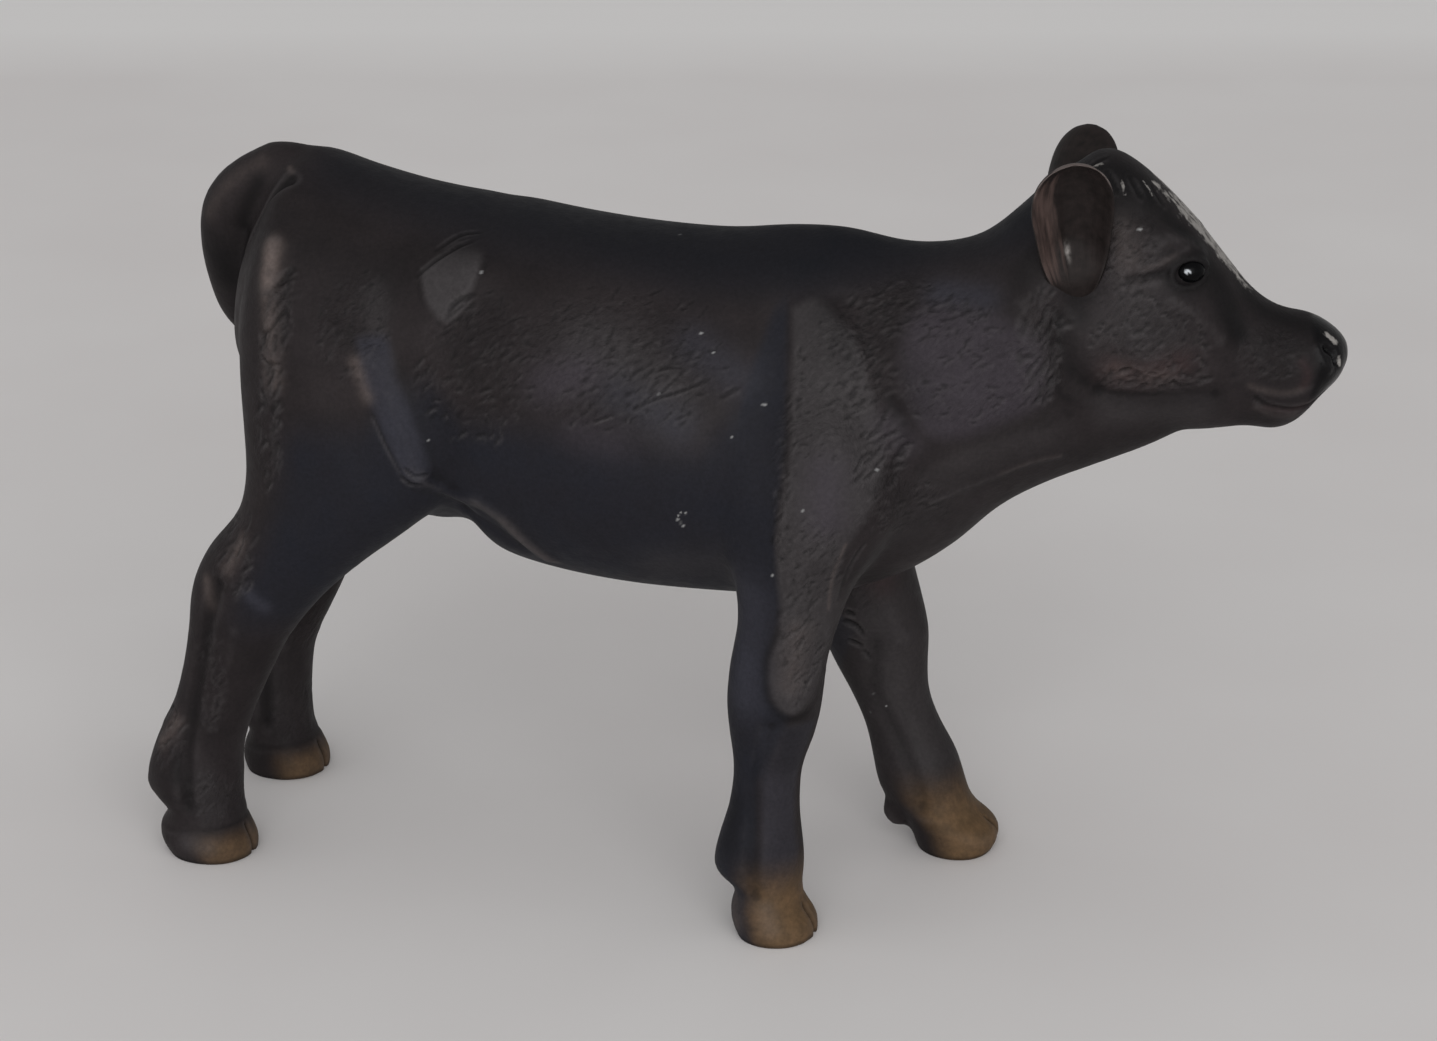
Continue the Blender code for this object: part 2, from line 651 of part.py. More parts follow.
def material(name, colour, roughness):
    made = bpy.data.materials.new(name)
    made.use_nodes = True
    shader = made.node_tree.nodes["Principled BSDF"]
    shader.inputs["Base Color"].default_value = (*colour, 1.0)
    shader.inputs["Roughness"].default_value = roughness
    shader.inputs["Metallic"].default_value = 0.0
    return made


def finish(piece, paint):
    """Moves a piece to the model's own frame, and gives it its paint and smooth shading."""
    piece.data.transform(Matrix.Translation(millimetres(*FRAME_SHIFT)))
    piece.data.materials.clear()
    piece.data.materials.append(paint)
    piece.data.shade_smooth()
    piece.data.set_sharp_from_angle(angle=math.radians(50))


def main():
    trunk = whole_skin()
    skin_clear = fattened(trunk, "skin_clear", SEAM_GAP)
    soles_cut(trunk)
    trunk.name = "trunk_and_neck"

    legs = [
        leg_from(trunk, "hind_leg_right", HAUNCH_SEAM, -1, HAUNCH_PEG),
        leg_from(trunk, "hind_leg_left", HAUNCH_SEAM, 1, HAUNCH_PEG),
        leg_from(trunk, "fore_leg_right", SHOULDER_SEAM, -1, SHOULDER_PEG),
        leg_from(trunk, "fore_leg_left", SHOULDER_SEAM, 1, SHOULDER_PEG),
    ]
    for leg in legs:
        cloven(leg)
    head = head_from(trunk)
    face_details(head)

    ears = [ear_piece(name, head, skin_clear) for name in EARS]

    tail = tail_piece()
    boolean(tail, skin_clear, "DIFFERENCE")
    peg_joint(trunk, tail, TAIL_PEG_RADIUS, TAIL_PEG_START, TAIL_PEG_END)
    remove(skin_clear)

    coat = material("painted_coat", COAT, 0.55)
    inner = material("painted_ear", EAR_INNER, 0.55)
    for piece in (trunk, head, tail, *legs):
        finish(piece, coat)
    for ear in ears:
        finish(ear, inner)


for old in list(bpy.data.objects):
    bpy.data.objects.remove(old)
figure_collection = bpy.data.collections.new("toy_calf")
cutter_collection = bpy.data.collections.new("cutters")
for collection in (figure_collection, cutter_collection):
    bpy.context.scene.collection.children.link(collection)
main()
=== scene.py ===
"""Looks of the toy calf: a solid vinyl figure, sculpted, moulded in parts and painted by hand.

The calf is sculpted whole, with its neck straight, in millimetres. Section tables give its masses, which are
blended into one skin. Its muscles, folds, face, hooves and carved hair are worked into that skin, which is
then parted where the moulded parts meet. Last the neck is turned, and each part is painted.
"""

import math
import random

import bmesh
import bpy
import numpy as np
from mathutils import Matrix, Vector
from mathutils.bvhtree import BVHTree
from mathutils.kdtree import KDTree
from mathutils.noise import noise as unevenness


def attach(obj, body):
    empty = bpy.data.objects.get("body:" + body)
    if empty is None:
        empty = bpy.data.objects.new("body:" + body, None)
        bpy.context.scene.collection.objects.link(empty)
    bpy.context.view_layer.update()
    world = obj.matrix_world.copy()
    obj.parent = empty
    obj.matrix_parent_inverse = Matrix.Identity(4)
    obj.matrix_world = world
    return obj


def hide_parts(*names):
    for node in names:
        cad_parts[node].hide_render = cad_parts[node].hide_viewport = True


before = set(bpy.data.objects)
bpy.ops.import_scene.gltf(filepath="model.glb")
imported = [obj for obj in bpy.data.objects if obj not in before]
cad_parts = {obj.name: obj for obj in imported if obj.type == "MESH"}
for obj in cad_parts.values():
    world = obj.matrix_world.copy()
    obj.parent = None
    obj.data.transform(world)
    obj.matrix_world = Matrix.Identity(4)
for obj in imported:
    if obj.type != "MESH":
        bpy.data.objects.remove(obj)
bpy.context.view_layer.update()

MM = 0.001
RIGHT, LEFT, BOTH_SIDES = (-1,), (1,), (-1, 1)

# The calf's own frame, moved by this much, is the model's frame
FRAME_SHIFT = (-1.613, -0.413, 0.0)

# Fineness of the skin in millimetres, before each of its faces is made four, and passes of blending
VOXEL = 0.36
BLEND_PASSES = round(1.8 / VOXEL**2)
BLEND_SHARE = 0.5
# The hooves keep their shape: the blending loses this share of its strength down these heights
HOOVES_KEEP = 0.75
HOOVES_KEEP_HEIGHTS = (9.0, 5.0)
RING_POINTS = 64
STEPS_BETWEEN_SECTIONS = 8
LEG_ROUNDNESS = 2.15

# The neck turns the head to the calf's left between these two stations
NECK_TURN_DEGREES = 13.0
NECK_TURN_START = 14.0
NECK_TURN_END = 26.0

# Trunk and neck: top x, z; bottom x, z; half width; how far up it is widest; roundness above and below that
TRUNK_SECTIONS = [
    (-34.7, 43.0, -34.7, 38.4, 1.8, 0.40, 2.0, 2.0),
    (-34.3, 45.4, -34.3, 36.8, 4.0, 0.36, 1.9, 2.0),
    (-33.6, 47.4, -33.6, 36.0, 6.0, 0.38, 1.8, 2.0),
    (-32.4, 49.5, -32.4, 34.6, 7.8, 0.40, 1.8, 2.0),
    (-31.0, 51.6, -31.0, 33.2, 9.0, 0.45, 1.9, 2.0),
    (-29.4, 52.6, -29.4, 31.6, 9.8, 0.52, 1.8, 2.0),
    (-26.0, 51.7, -26.0, 29.4, 10.6, 0.54, 1.8, 2.0),
    (-22.5, 50.9, -22.5, 27.4, 10.9, 0.52, 1.9, 2.0),
    (-19.4, 50.5, -19.4, 26.2, 11.2, 0.50, 1.9, 2.0),
    (-17.2, 50.3, -17.0, 26.5, 11.4, 0.50, 1.9, 2.0),
    (-15.6, 50.1, -15.0, 26.0, 11.5, 0.50, 1.9, 2.1),
    (-14.0, 50.0, -13.6, 24.5, 11.7, 0.50, 2.0, 2.1),
    (-9.5, 49.5, -9.5, 23.8, 12.0, 0.48, 2.0, 2.2),
    (-4.0, 49.3, -4.0, 23.4, 12.0, 0.46, 1.9, 2.2),
    (1.5, 49.5, 1.5, 23.3, 11.5, 0.45, 1.8, 2.1),
    (6.0, 50.2, 6.0, 23.4, 10.8, 0.44, 1.7, 2.0),
    (10.0, 50.4, 10.5, 24.0, 10.0, 0.44, 1.7, 2.0),
    (14.0, 49.8, 14.8, 25.6, 9.0, 0.45, 1.8, 1.9),
    (17.2, 50.0, 18.4, 28.1, 8.0, 0.46, 1.9, 1.8),
    (20.0, 50.9, 21.6, 31.2, 7.0, 0.48, 2.0, 1.8),
    (22.6, 53.1, 24.6, 33.0, 6.3, 0.50, 2.0, 1.8),
    (25.2, 55.6, 28.0, 34.4, 5.6, 0.50, 2.0, 1.8),
    (27.6, 56.0, 31.4, 35.8, 4.8, 0.45, 2.0, 1.8),
    (29.5, 54.0, 34.0, 37.2, 3.4, 0.40, 2.0, 1.9),
    (30.6, 51.0, 35.6, 38.6, 1.6, 0.40, 2.0, 2.0),
]

# Head, along the face from the skull to the nose, in the same columns
HEAD_SECTIONS = [
    (25.6, 55.0, 26.0, 45.0, 3.0, 0.50, 2.0, 2.0),
    (27.0, 56.7, 26.7, 41.0, 4.6, 0.50, 2.2, 2.0),
    (28.6, 57.1, 28.2, 39.0, 5.1, 0.50, 2.3, 2.0),
    (30.4, 56.1, 29.8, 37.6, 5.3, 0.52, 2.4, 2.0),
    (32.3, 54.4, 31.4, 37.2, 5.4, 0.56, 2.5, 2.0),
    (34.3, 52.3, 33.0, 37.5, 5.2, 0.60, 2.6, 2.0),
    (36.4, 49.8, 34.8, 37.3, 4.5, 0.56, 2.4, 2.0),
    (38.5, 47.4, 36.6, 37.5, 3.8, 0.50, 2.2, 2.0),
    (40.4, 46.2, 38.4, 37.8, 3.5, 0.46, 2.2, 2.1),
    (42.4, 45.8, 40.3, 37.6, 3.6, 0.50, 2.3, 2.2),
    (43.9, 45.0, 41.9, 38.5, 3.4, 0.52, 2.3, 2.2),
    (44.9, 44.1, 43.0, 40.0, 2.7, 0.52, 2.2, 2.2),
    (45.3, 43.2, 44.4, 41.1, 1.2, 0.50, 2.0, 2.0),
]

# Legs, downwards: height; back and front x; middle y of the right or left leg without its sign; half width
LEG_SECTIONS = {
    "hind_leg_right": [
        (46.0, -31.8, -24.0, 6.2, 3.2),
        (42.0, -32.3, -19.0, 6.8, 4.8),
        (38.0, -32.3, -16.6, 7.2, 5.2),
        (34.0, -32.1, -15.4, 7.4, 5.2),
        (30.5, -32.1, -16.4, 7.5, 4.8),
        (27.5, -32.9, -19.6, 7.6, 4.3),
        (24.5, -35.3, -23.3, 7.7, 3.8),
        (21.5, -36.7, -26.5, 7.8, 3.4),
        (18.0, -37.2, -29.3, 7.8, 3.0),
        (15.0, -37.8, -30.9, 7.8, 2.7),
        (12.0, -38.7, -32.3, 7.8, 2.6),
        (10.0, -39.7, -33.1, 7.8, 2.8),
        (8.0, -40.5, -33.7, 7.8, 3.1),
        (6.0, -41.0, -33.8, 7.8, 3.2),
        (4.4, -40.5, -33.9, 7.8, 3.0),
        (3.3, -39.4, -33.8, 7.8, 2.9),
        (2.2, -40.1, -33.5, 7.8, 3.2),
        (0.8, -40.0, -32.9, 7.8, 3.4),
        (-0.6, -38.8, -33.1, 7.8, 3.2),
    ],
    "hind_leg_left": [
        (46.0, -31.8, -24.0, 6.2, 3.2),
        (42.0, -32.3, -19.0, 6.8, 4.8),
        (38.0, -32.3, -16.8, 7.2, 5.2),
        (34.0, -32.1, -15.8, 7.4, 5.2),
        (30.5, -32.2, -16.6, 7.5, 4.8),
        (27.5, -33.2, -19.6, 7.6, 4.3),
        (24.5, -35.8, -24.0, 7.7, 3.8),
        (21.5, -37.4, -27.8, 7.8, 3.4),
        (18.0, -37.9, -30.8, 7.8, 3.0),
        (15.0, -38.4, -32.3, 7.8, 2.7),
        (12.0, -39.2, -33.8, 7.8, 2.6),
        (10.0, -39.8, -34.6, 7.8, 2.8),
        (8.0, -40.3, -34.9, 7.8, 3.0),
        (6.0, -40.6, -35.1, 7.8, 3.1),
        (4.4, -40.5, -35.0, 7.8, 2.9),
        (3.3, -39.7, -34.9, 7.8, 2.9),
        (2.2, -40.2, -34.3, 7.8, 3.1),
        (0.8, -40.4, -33.7, 7.8, 3.3),
        (-0.6, -39.8, -33.9, 7.8, 3.2),
    ],
    "fore_leg_right": [
        (45.0, 5.0, 11.0, 4.0, 2.0),
        (41.0, 2.4, 14.2, 5.6, 3.6),
        (37.0, 1.8, 16.4, 6.6, 4.6),
        (33.5, 2.6, 16.8, 7.2, 4.9),
        (30.0, 3.9, 15.2, 7.5, 4.4),
        (27.0, 4.8, 13.3, 7.6, 3.9),
        (24.0, 5.1, 12.2, 7.8, 3.5),
        (21.0, 4.6, 11.4, 7.9, 3.3),
        (18.0, 4.3, 11.1, 7.9, 3.3),
        (15.5, 4.5, 10.6, 7.9, 3.0),
        (12.8, 4.8, 9.7, 7.9, 2.6),
        (10.0, 4.5, 9.5, 7.9, 2.6),
        (8.2, 4.0, 9.6, 7.9, 2.9),
        (6.2, 3.5, 9.8, 7.9, 3.1),
        (4.7, 3.5, 9.8, 7.9, 2.9),
        (3.5, 5.0, 9.7, 7.9, 2.7),
        (2.3, 4.7, 9.9, 7.9, 3.1),
        (0.9, 4.8, 10.8, 7.9, 3.4),
        (-0.6, 5.5, 10.8, 7.9, 3.2),
    ],
    "fore_leg_left": [
        (45.0, 5.0, 11.0, 4.0, 2.0),
        (41.0, 2.4, 14.2, 5.6, 3.6),
        (37.0, 2.0, 16.2, 6.6, 4.6),
        (33.5, 2.8, 16.8, 7.2, 4.9),
        (30.0, 4.2, 14.9, 7.6, 4.4),
        (27.0, 4.9, 12.8, 8.0, 3.9),
        (24.0, 5.1, 12.7, 8.5, 3.6),
        (20.5, 5.3, 13.5, 8.9, 3.4),
        (17.2, 5.9, 14.2, 9.2, 3.2),
        (14.5, 6.9, 14.1, 9.5, 2.9),
        (12.0, 8.2, 14.2, 9.7, 2.6),
        (9.5, 9.3, 15.1, 9.9, 2.6),
        (7.2, 9.9, 16.5, 10.0, 2.9),
        (5.2, 10.3, 17.3, 10.1, 3.0),
        (3.9, 10.8, 17.9, 10.1, 2.9),
        (2.8, 12.2, 18.8, 10.1, 3.2),
        (1.6, 12.9, 21.0, 10.1, 3.4),
        (0.6, 13.3, 21.0, 10.1, 3.4),
        (-0.6, 13.8, 20.0, 10.1, 3.2),
    ],
}

# Dewclaws: middle of each pair, then half sizes of one, and how far the two are apart
DEWCLAWS = [
    ((-39.8, -7.8, 5.5), (1.0, 0.95, 1.05), 1.3),
    ((-40.0, 7.8, 5.5), (0.95, 0.95, 1.0), 1.3),
    ((4.95, -7.9, 5.3), (1.05, 0.95, 1.1), 1.3),
    ((12.2, 10.1, 2.6), (1.2, 1.0, 1.4), 1.1),
]
SHEATH = ((-12.4, 0.0, 25.0), (2.1, 1.9, 1.6))

# Tail, from its root to its tuft: x, y, z of the middle, then the radius
TAIL_SECTIONS = [
    (-29.2, 0.1, 49.8, 1.5),
    (-30.8, 0.1, 50.7, 2.0),
    (-32.6, 0.0, 50.4, 2.25),
    (-34.5, 0.1, 49.2, 2.4),
    (-35.9, 0.3, 47.5, 2.5),
    (-36.3, 0.6, 45.2, 2.5),
    (-36.3, 1.3, 42.4, 2.4),
    (-36.3, 2.6, 39.6, 2.1),
    (-35.1, 4.4, 36.6, 1.7),
    (-34.8, 6.0, 34.0, 1.7),
    (-34.8, 6.8, 31.8, 1.2),
    (-34.9, 7.2, 30.4, 0.5),
]
TAIL_SIDES = 32
TAIL_CUT_GROWTH = 0.15

# Where the moulded parts meet, on the calf's side, x and z
HAUNCH_SEAM = [
    (-46.0, -3.0), (-46.0, 34.0), (-38.0, 42.0), (-30.0, 44.5), (-22.0, 43.5), (-16.5, 39.5), (-14.2, 33.5),
    (-15.2, 27.8), (-18.5, 24.0), (-21.0, 15.0), (-26.0, -3.0),
]
SHOULDER_SEAM = [
    (-1.0, -3.0), (1.2, 15.0), (2.2, 24.0), (1.0, 31.0), (3.0, 38.5), (9.0, 42.0), (15.0, 39.0),
    (17.6, 33.0), (17.2, 27.2), (18.4, 24.0), (24.0, 12.0), (26.0, -3.0),
]
INNER_FACE_Y = 3.9
NECK_SEAM_POINT = (25.4, 0.0, 45.5)
NECK_SEAM_LEAN_DEGREES = 8.0
LEG_PARTING_X = -8.0

# Paths that are both carved and painted, as x and z, or as x, distance out from the middle plane, and z
CREASE_BESIDE_TAIL = [
    (-29.7, 4, 51.5), (-30.8, 4, 50.1), (-31.5, 4, 49.0), (-32.1, 4, 47.9), (-32.8, 3.9, 46.6),
    (-33.4, 3.6, 45.0), (-33.8, 2.9, 43.1), (-34.0, 1.9, 41.5), (-34.0, 0.9, 40.2),
]
FOLD_BEHIND_EYE = [(32.4, 50.0), (31.3, 49.8), (29.9, 49.5)]

# Muscles, bones and folds on both sides: name, width, height (below 0, depth), and path
FORMS = [
    ("hip bone", 1.5, 0.45, [(-17.0, 46.7), (-15.4, 47.0)]),
    ("hollow under the hip bone", 1.6, -0.3, [(-14.9, 43.6), (-12.9, 45.0)]),
    ("hollow over the flank", 2.8, -0.4, [(-14.5, 41.0), (-13.8, 38.5)]),
    ("thigh ridge", 1.15, 0.42, [(-20.7, 41.0), (-19.6, 38.8), (-18.6, 36.2), (-17.6, 33.4)]),
    ("hollow ahead of the thigh ridge", 1.5, -0.28, [(-17.6, 40.0), (-16.0, 37.0), (-15.0, 34.4)]),
    ("hollow behind the thigh ridge", 1.5, -0.16, [(-23.4, 39.5), (-22.0, 36.0), (-20.6, 33.0)]),
    ("pin bone", 0.95, 0.4, [(-29.2, 47.8), (-28.9, 45.0)]),
    ("edge under the pin bone", 0.7, 0.2, [(-28.7, 44.4), (-28.5, 41.0), (-28.6, 38.0)]),
    ("tail root", 1.2, 0.1, [(-32.6, 0.4, 52.4), (-31.2, 0.6, 52.6), (-29.8, 0.8, 52.9)]),
    ("side of the tail root", 0.9, 0.12, [(-31.6, 2.6, 51.6), (-30.2, 3.2, 51.7)]),
    ("crease beside the tail", 0.42, -0.42, CREASE_BESIDE_TAIL),
    ("pit under the ear", 1.7, -0.9, [(26.8, 52.0), (26.9, 50.4), (27.0, 48.8)]),
    ("flank fold", 0.6, 0.32, [
        (-17.5, 32.5), (-15.4, 31.3), (-13.1, 31.2), (-11.4, 29.9), (-9.9, 27.9), (-8.9, 26.8),
    ]),
    ("hollow under the flank fold", 0.8, -0.25, [(-15.0, 29.9), (-12.9, 28.9), (-11.1, 27.5)]),
    ("furrow behind the shoulder", 1.5, -0.22, [
        (7.2, 45.6), (7.5, 42.0), (7.7, 38.0), (7.9, 34.0), (7.8, 30.4),
    ]),
    ("shoulder blade", 1.7, 0.3, [(10.8, 45.0), (11.5, 42.0), (12.0, 38.8)]),
    ("upper arm", 1.7, 0.35, [(12.6, 37.6), (12.0, 34.2), (11.2, 31.0)]),
    ("front of the shoulder", 0.9, -0.2, [(11.4, 46.9), (13.6, 45.4), (14.8, 42.8), (15.7, 40.4)]),
    ("groove at the shoulder point", 0.55, -0.15, [
        (15.7, 41.1), (16.6, 39.6), (16.9, 38.2), (16.4, 36.8), (15.5, 35.1),
    ]),
    ("elbow", 1.3, 0.25, [(5.6, 28.8)]),
    ("forearm muscle", 1.2, 0.22, [(10.2, 29.4), (10.1, 26.0), (9.8, 23.4)]),
    ("ribs", 3.4, 0.35, [(-6.0, 40.0), (-1.0, 40.5)]),
    ("neck groove", 1.1, -0.3, [(26.0, 39.6), (24.9, 39.0), (21.9, 38.4), (19.7, 37.5), (17.8, 36.2)]),
    ("dewlap fold", 0.35, 0.1, [(25.6, 36.3), (23.7, 36.0), (21.9, 35.3), (19.9, 34.5), (18.0, 33.5)]),
    ("throat groove", 0.9, -0.4, [(25.2, 46.6), (25.7, 44.4), (26.6, 42.6), (28.0, 41.6)]),
    ("neck muscle behind the ear", 1.2, 0.3, [(23.0, 47.6), (23.4, 44.6), (23.6, 42.0)]),
    ("cheek", 2.2, 0.35, [(29.6, 45.4), (31.6, 44.2)]),
    ("jaw edge", 0.7, -0.24, [(28.6, 41.2), (30.9, 41.0), (33.3, 41.2), (35.9, 41.1)]),
]

# The face: the same columns
FACE = [
    ("brow", 0.75, 0.27, [(31.4, 51.7), (32.4, 52.1), (33.6, 51.7), (34.6, 50.9)]),
    ("hollow over the brow", 0.8, -0.22, [(30.2, 53.6), (31.8, 53.5), (33.2, 52.7)]),
    ("eye socket", 1.2, -0.42, [(33.8, 49.9)]),
    ("ridge behind the eye", 0.3, 0.15, [(30.7, 50.2), (31.9, 50.7), (32.9, 51.0), (33.6, 51.3)]),
    ("fold behind the eye", 0.34, -0.22, FOLD_BEHIND_EYE),
    ("tear groove", 0.85, -0.24, [(35.3, 49.0), (36.0, 47.8), (36.8, 46.6), (37.5, 45.4)]),
    ("cheek bone", 0.8, 0.22, [(33.0, 48.0), (34.6, 46.9), (36.0, 45.2)]),
    ("muzzle", 1.6, 0.14, [(39.4, 43.6), (41.2, 43.7)]),
    ("muzzle back fold", 0.5, -0.1, [(38.0, 45.2), (37.3, 43.8), (37.2, 42.6)]),
    ("upper lip edge", 0.36, 0.05, [(38.2, 41.8), (39.2, 41.3), (40.6, 41.0), (41.8, 41.3), (43.0, 41.9)]),
    ("lower lip", 0.42, 0.08, [(38.9, 40.0), (39.9, 39.5), (41.0, 39.4), (42.3, 39.9)]),
    ("mouth", 0.16, -0.13, [
        (38.8, 40.8), (39.5, 40.3), (40.3, 40.1), (41.4, 40.0), (42.6, 40.3), (43.5, 41.0),
    ]),
    ("nostril", 0.28, -0.45, [(43.5, 44.2), (44.0, 43.8), (44.2, 43.2)]),
    ("nostril wing", 0.28, 0.18, [(42.8, 44.3), (43.2, 43.5), (43.6, 42.8)]),
]

# Eye: its middle on the straight head, and its half sizes along, across and up
EYE = (33.85, 3.80, 49.85)
EYE_HALF_SIZES = (1.14, 0.98, 0.90)
# Lids, upper and lower: width, height, and the degrees round the eye at which each starts and ends
LIDS = [(0.26, 0.34, 20, 175), (0.22, 0.24, 190, 345)]
LID_GAP = 1.05
# Painted shade round the eye, along its lids: half width
EYE_LINE = 0.60
# Glints painted in the eye, and the dark notch in the first: middle and half sizes over the eye
GLINTS = [(-0.06, 0.20, 0.20, 0.16), (-0.66, -0.42, 0.24, 0.09)]
GLINT_NOTCH = (0.00, 0.10, 0.10, 0.09)

# Outlined places, lifted a little off the skin: name, lift, softness of the edge, paint and its strength,
# and the outline as x and z
PATCHES = [
    ("hip bone's flat", 0.12, 0.35, "grey", 1.0, [
        (-18.2, 47.0), (-16.8, 47.9), (-14.3, 48.0), (-14.2, 46.2), (-15.6, 43.9), (-17.3, 45.0),
    ]),
    ("light on the thigh ridge", 0.06, 0.5, "steel", 0.9, [
        (-22.0, 42.4), (-21.2, 39.4), (-20.3, 37.4), (-19.3, 35.0), (-18.5, 33.0), (-17.5, 32.4),
        (-16.9, 33.4), (-17.2, 35.4), (-18.0, 37.8), (-19.0, 40.0), (-20.0, 42.6),
    ]),
    ("shoulder and the tongue of hair down the foreleg", 0.09, 0.4, "grey", 0.95, [
        (8.3, 46.2), (8.8, 43.8), (9.1, 40.8), (9.5, 38.3), (9.5, 35.1), (9.0, 31.5), (9.0, 28.8),
        (9.2, 25.3), (8.3, 22.3), (8.4, 19.6), (9.3, 18.3), (10.4, 18.4), (11.1, 19.8), (11.8, 22.4),
        (12.4, 25.4), (13.0, 28.6), (13.6, 31.0), (15.2, 34.0), (15.7, 37.0), (15.1, 39.8), (14.3, 42.0),
        (13.2, 44.4), (11.4, 46.0), (9.6, 46.9),
    ]),
    ("neck", 0.0, 0.9, "violet", 0.8, [
        (16.2, 46.2), (18.2, 47.0), (21.5, 46.8), (24.0, 45.5), (24.6, 43.0), (24.3, 40.8), (22.0, 39.4),
        (19.9, 38.5), (17.9, 38.8), (17.0, 40.6), (16.2, 43.5),
    ]),
    ("front of the cannon", 0.0, 0.4, "steel", 0.55, [
        (7.6, 17.0), (7.4, 12.4), (7.6, 8.0), (7.6, 4.4), (9.2, 4.0), (10.4, 9.0), (10.6, 13.0),
        (11.0, 17.0),
    ]),
]

# Grooves down the legs: width, height, and path as height over the floor and share of the way forwards
LEG_GROOVES = {
    "hind": [
        (0.62, -0.36, [
            (22.5, 0.24), (20.0, 0.27), (15.8, 0.3), (11.2, 0.41), (9.0, 0.5), (6.7, 0.58), (4.6, 0.56),
        ]),
        (0.8, 0.16, [(19.0, 0.55), (15.0, 0.62), (11.0, 0.68)]),
    ],
    "fore": [
        (0.6, -0.18, [(17.0, 0.62), (14.5, 0.56), (12.4, 0.49), (8.0, 0.55), (4.8, 0.57), (3.8, 0.5)]),
        (0.9, 0.18, [(19.5, 0.8), (17.5, 0.84)]),
    ],
}
# How strongly painted shade fills those grooves
GROOVE_SHADE = {"hind": 0.6, "fore": 0.3}
# Where horn meets hair, and the slot between the claws: width and height
CORONET_HEIGHT = 2.5
CORONET = {"hind": (0.24, -0.06), "fore": (0.30, -0.03)}
CLEFT = (0.20, -0.45)

# Carved lines that can be told apart: name, sides, and the width, depth and path of each
LINES = [
    ("behind the hip bone", BOTH_SIDES, [
        (0.15, 0.16, [(-18.4, 46.5), (-17.4, 47.5), (-16.1, 48.3), (-15.2, 48.6)]),
    ]),
    ("over the hip bone", BOTH_SIDES, [
        (0.14, 0.14, [(-17.6, 48.0), (-16.4, 48.8), (-15.0, 49.0)]),
    ]),
    ("ahead of the hip bone", BOTH_SIDES, [
        (0.15, 0.1, [(-15.7, 44.2), (-14.8, 45.0), (-14.1, 45.8)]),
    ]),
    ("behind the thigh ridge", BOTH_SIDES, [
        (0.16, 0.06, [(-20.5, 37.4), (-19.6, 35.4), (-18.6, 33.2)]),
    ]),
    ("under the thigh ridge", BOTH_SIDES, [
        (0.14, 0.16, [(-18.6, 32.9), (-18.0, 32.3), (-17.2, 32.3)]),
        (0.12, 0.12, [(-18.3, 33.6), (-17.6, 33.0), (-16.9, 33.1)]),
    ]),
    ("notch of the hip bone's flat", BOTH_SIDES, [
        (0.2, 0.18, [(-15.7, 44.2), (-15.4, 45.0), (-14.8, 45.5), (-14.2, 45.7)]),
    ]),
    ("on the ribs", RIGHT, [
        (0.12, 0.14, [(-1.4, 39.7), (0.2, 40.5), (1.5, 40.9), (3.4, 41.7)]),
        (0.1, 0.12, [(0.2, 40.6), (1.2, 41.7)]),
        (0.1, 0.1, [(-4.2, 38.6), (-2.8, 39.2)]),
    ]),
    ("in the armpit", BOTH_SIDES, [
        (0.14, 0.14, [(14.8, 31.4), (14.0, 30.0), (13.2, 28.2), (12.7, 26.6)]),
    ]),
    ("forelock", BOTH_SIDES, [
        (0.2, 0.2, [(28.2, 2.6, 56.2), (28.8, 3.2, 55.0)]),
        (0.2, 0.2, [(29.8, 2.4, 55.8), (30.4, 3.0, 54.6)]),
        (0.2, 0.18, [(31.2, 1.8, 55.0), (31.9, 2.4, 53.9)]),
        (0.18, 0.16, [(26.6, 2.6, 56.2), (27.0, 3.4, 55.2)]),
        (0.18, 0.14, [(25.4, 1.8, 55.8), (26.8, 1.6, 56.6), (28.2, 1.2, 56.9)]),
    ]),
    ("inside the far knee", LEFT, [
        (0.15, 0.22, [(7.6, 5.8, 20.3), (8.1, 5.8, 20.6), (8.6, 5.8, 20.4)]),
        (0.16, 0.25, [(8.9, 5.9, 19.4), (9.5, 6.0, 19.3)]),
        (0.16, 0.28, [(8.8, 6.0, 18.6), (9.6, 6.1, 18.4), (10.1, 6.2, 17.7)]),
        (0.14, 0.22, [(9.0, 6.1, 17.0), (10.0, 6.2, 16.7)]),
        (0.14, 0.2, [(10.2, 6.2, 16.2), (10.6, 6.3, 15.6)]),
    ]),
]

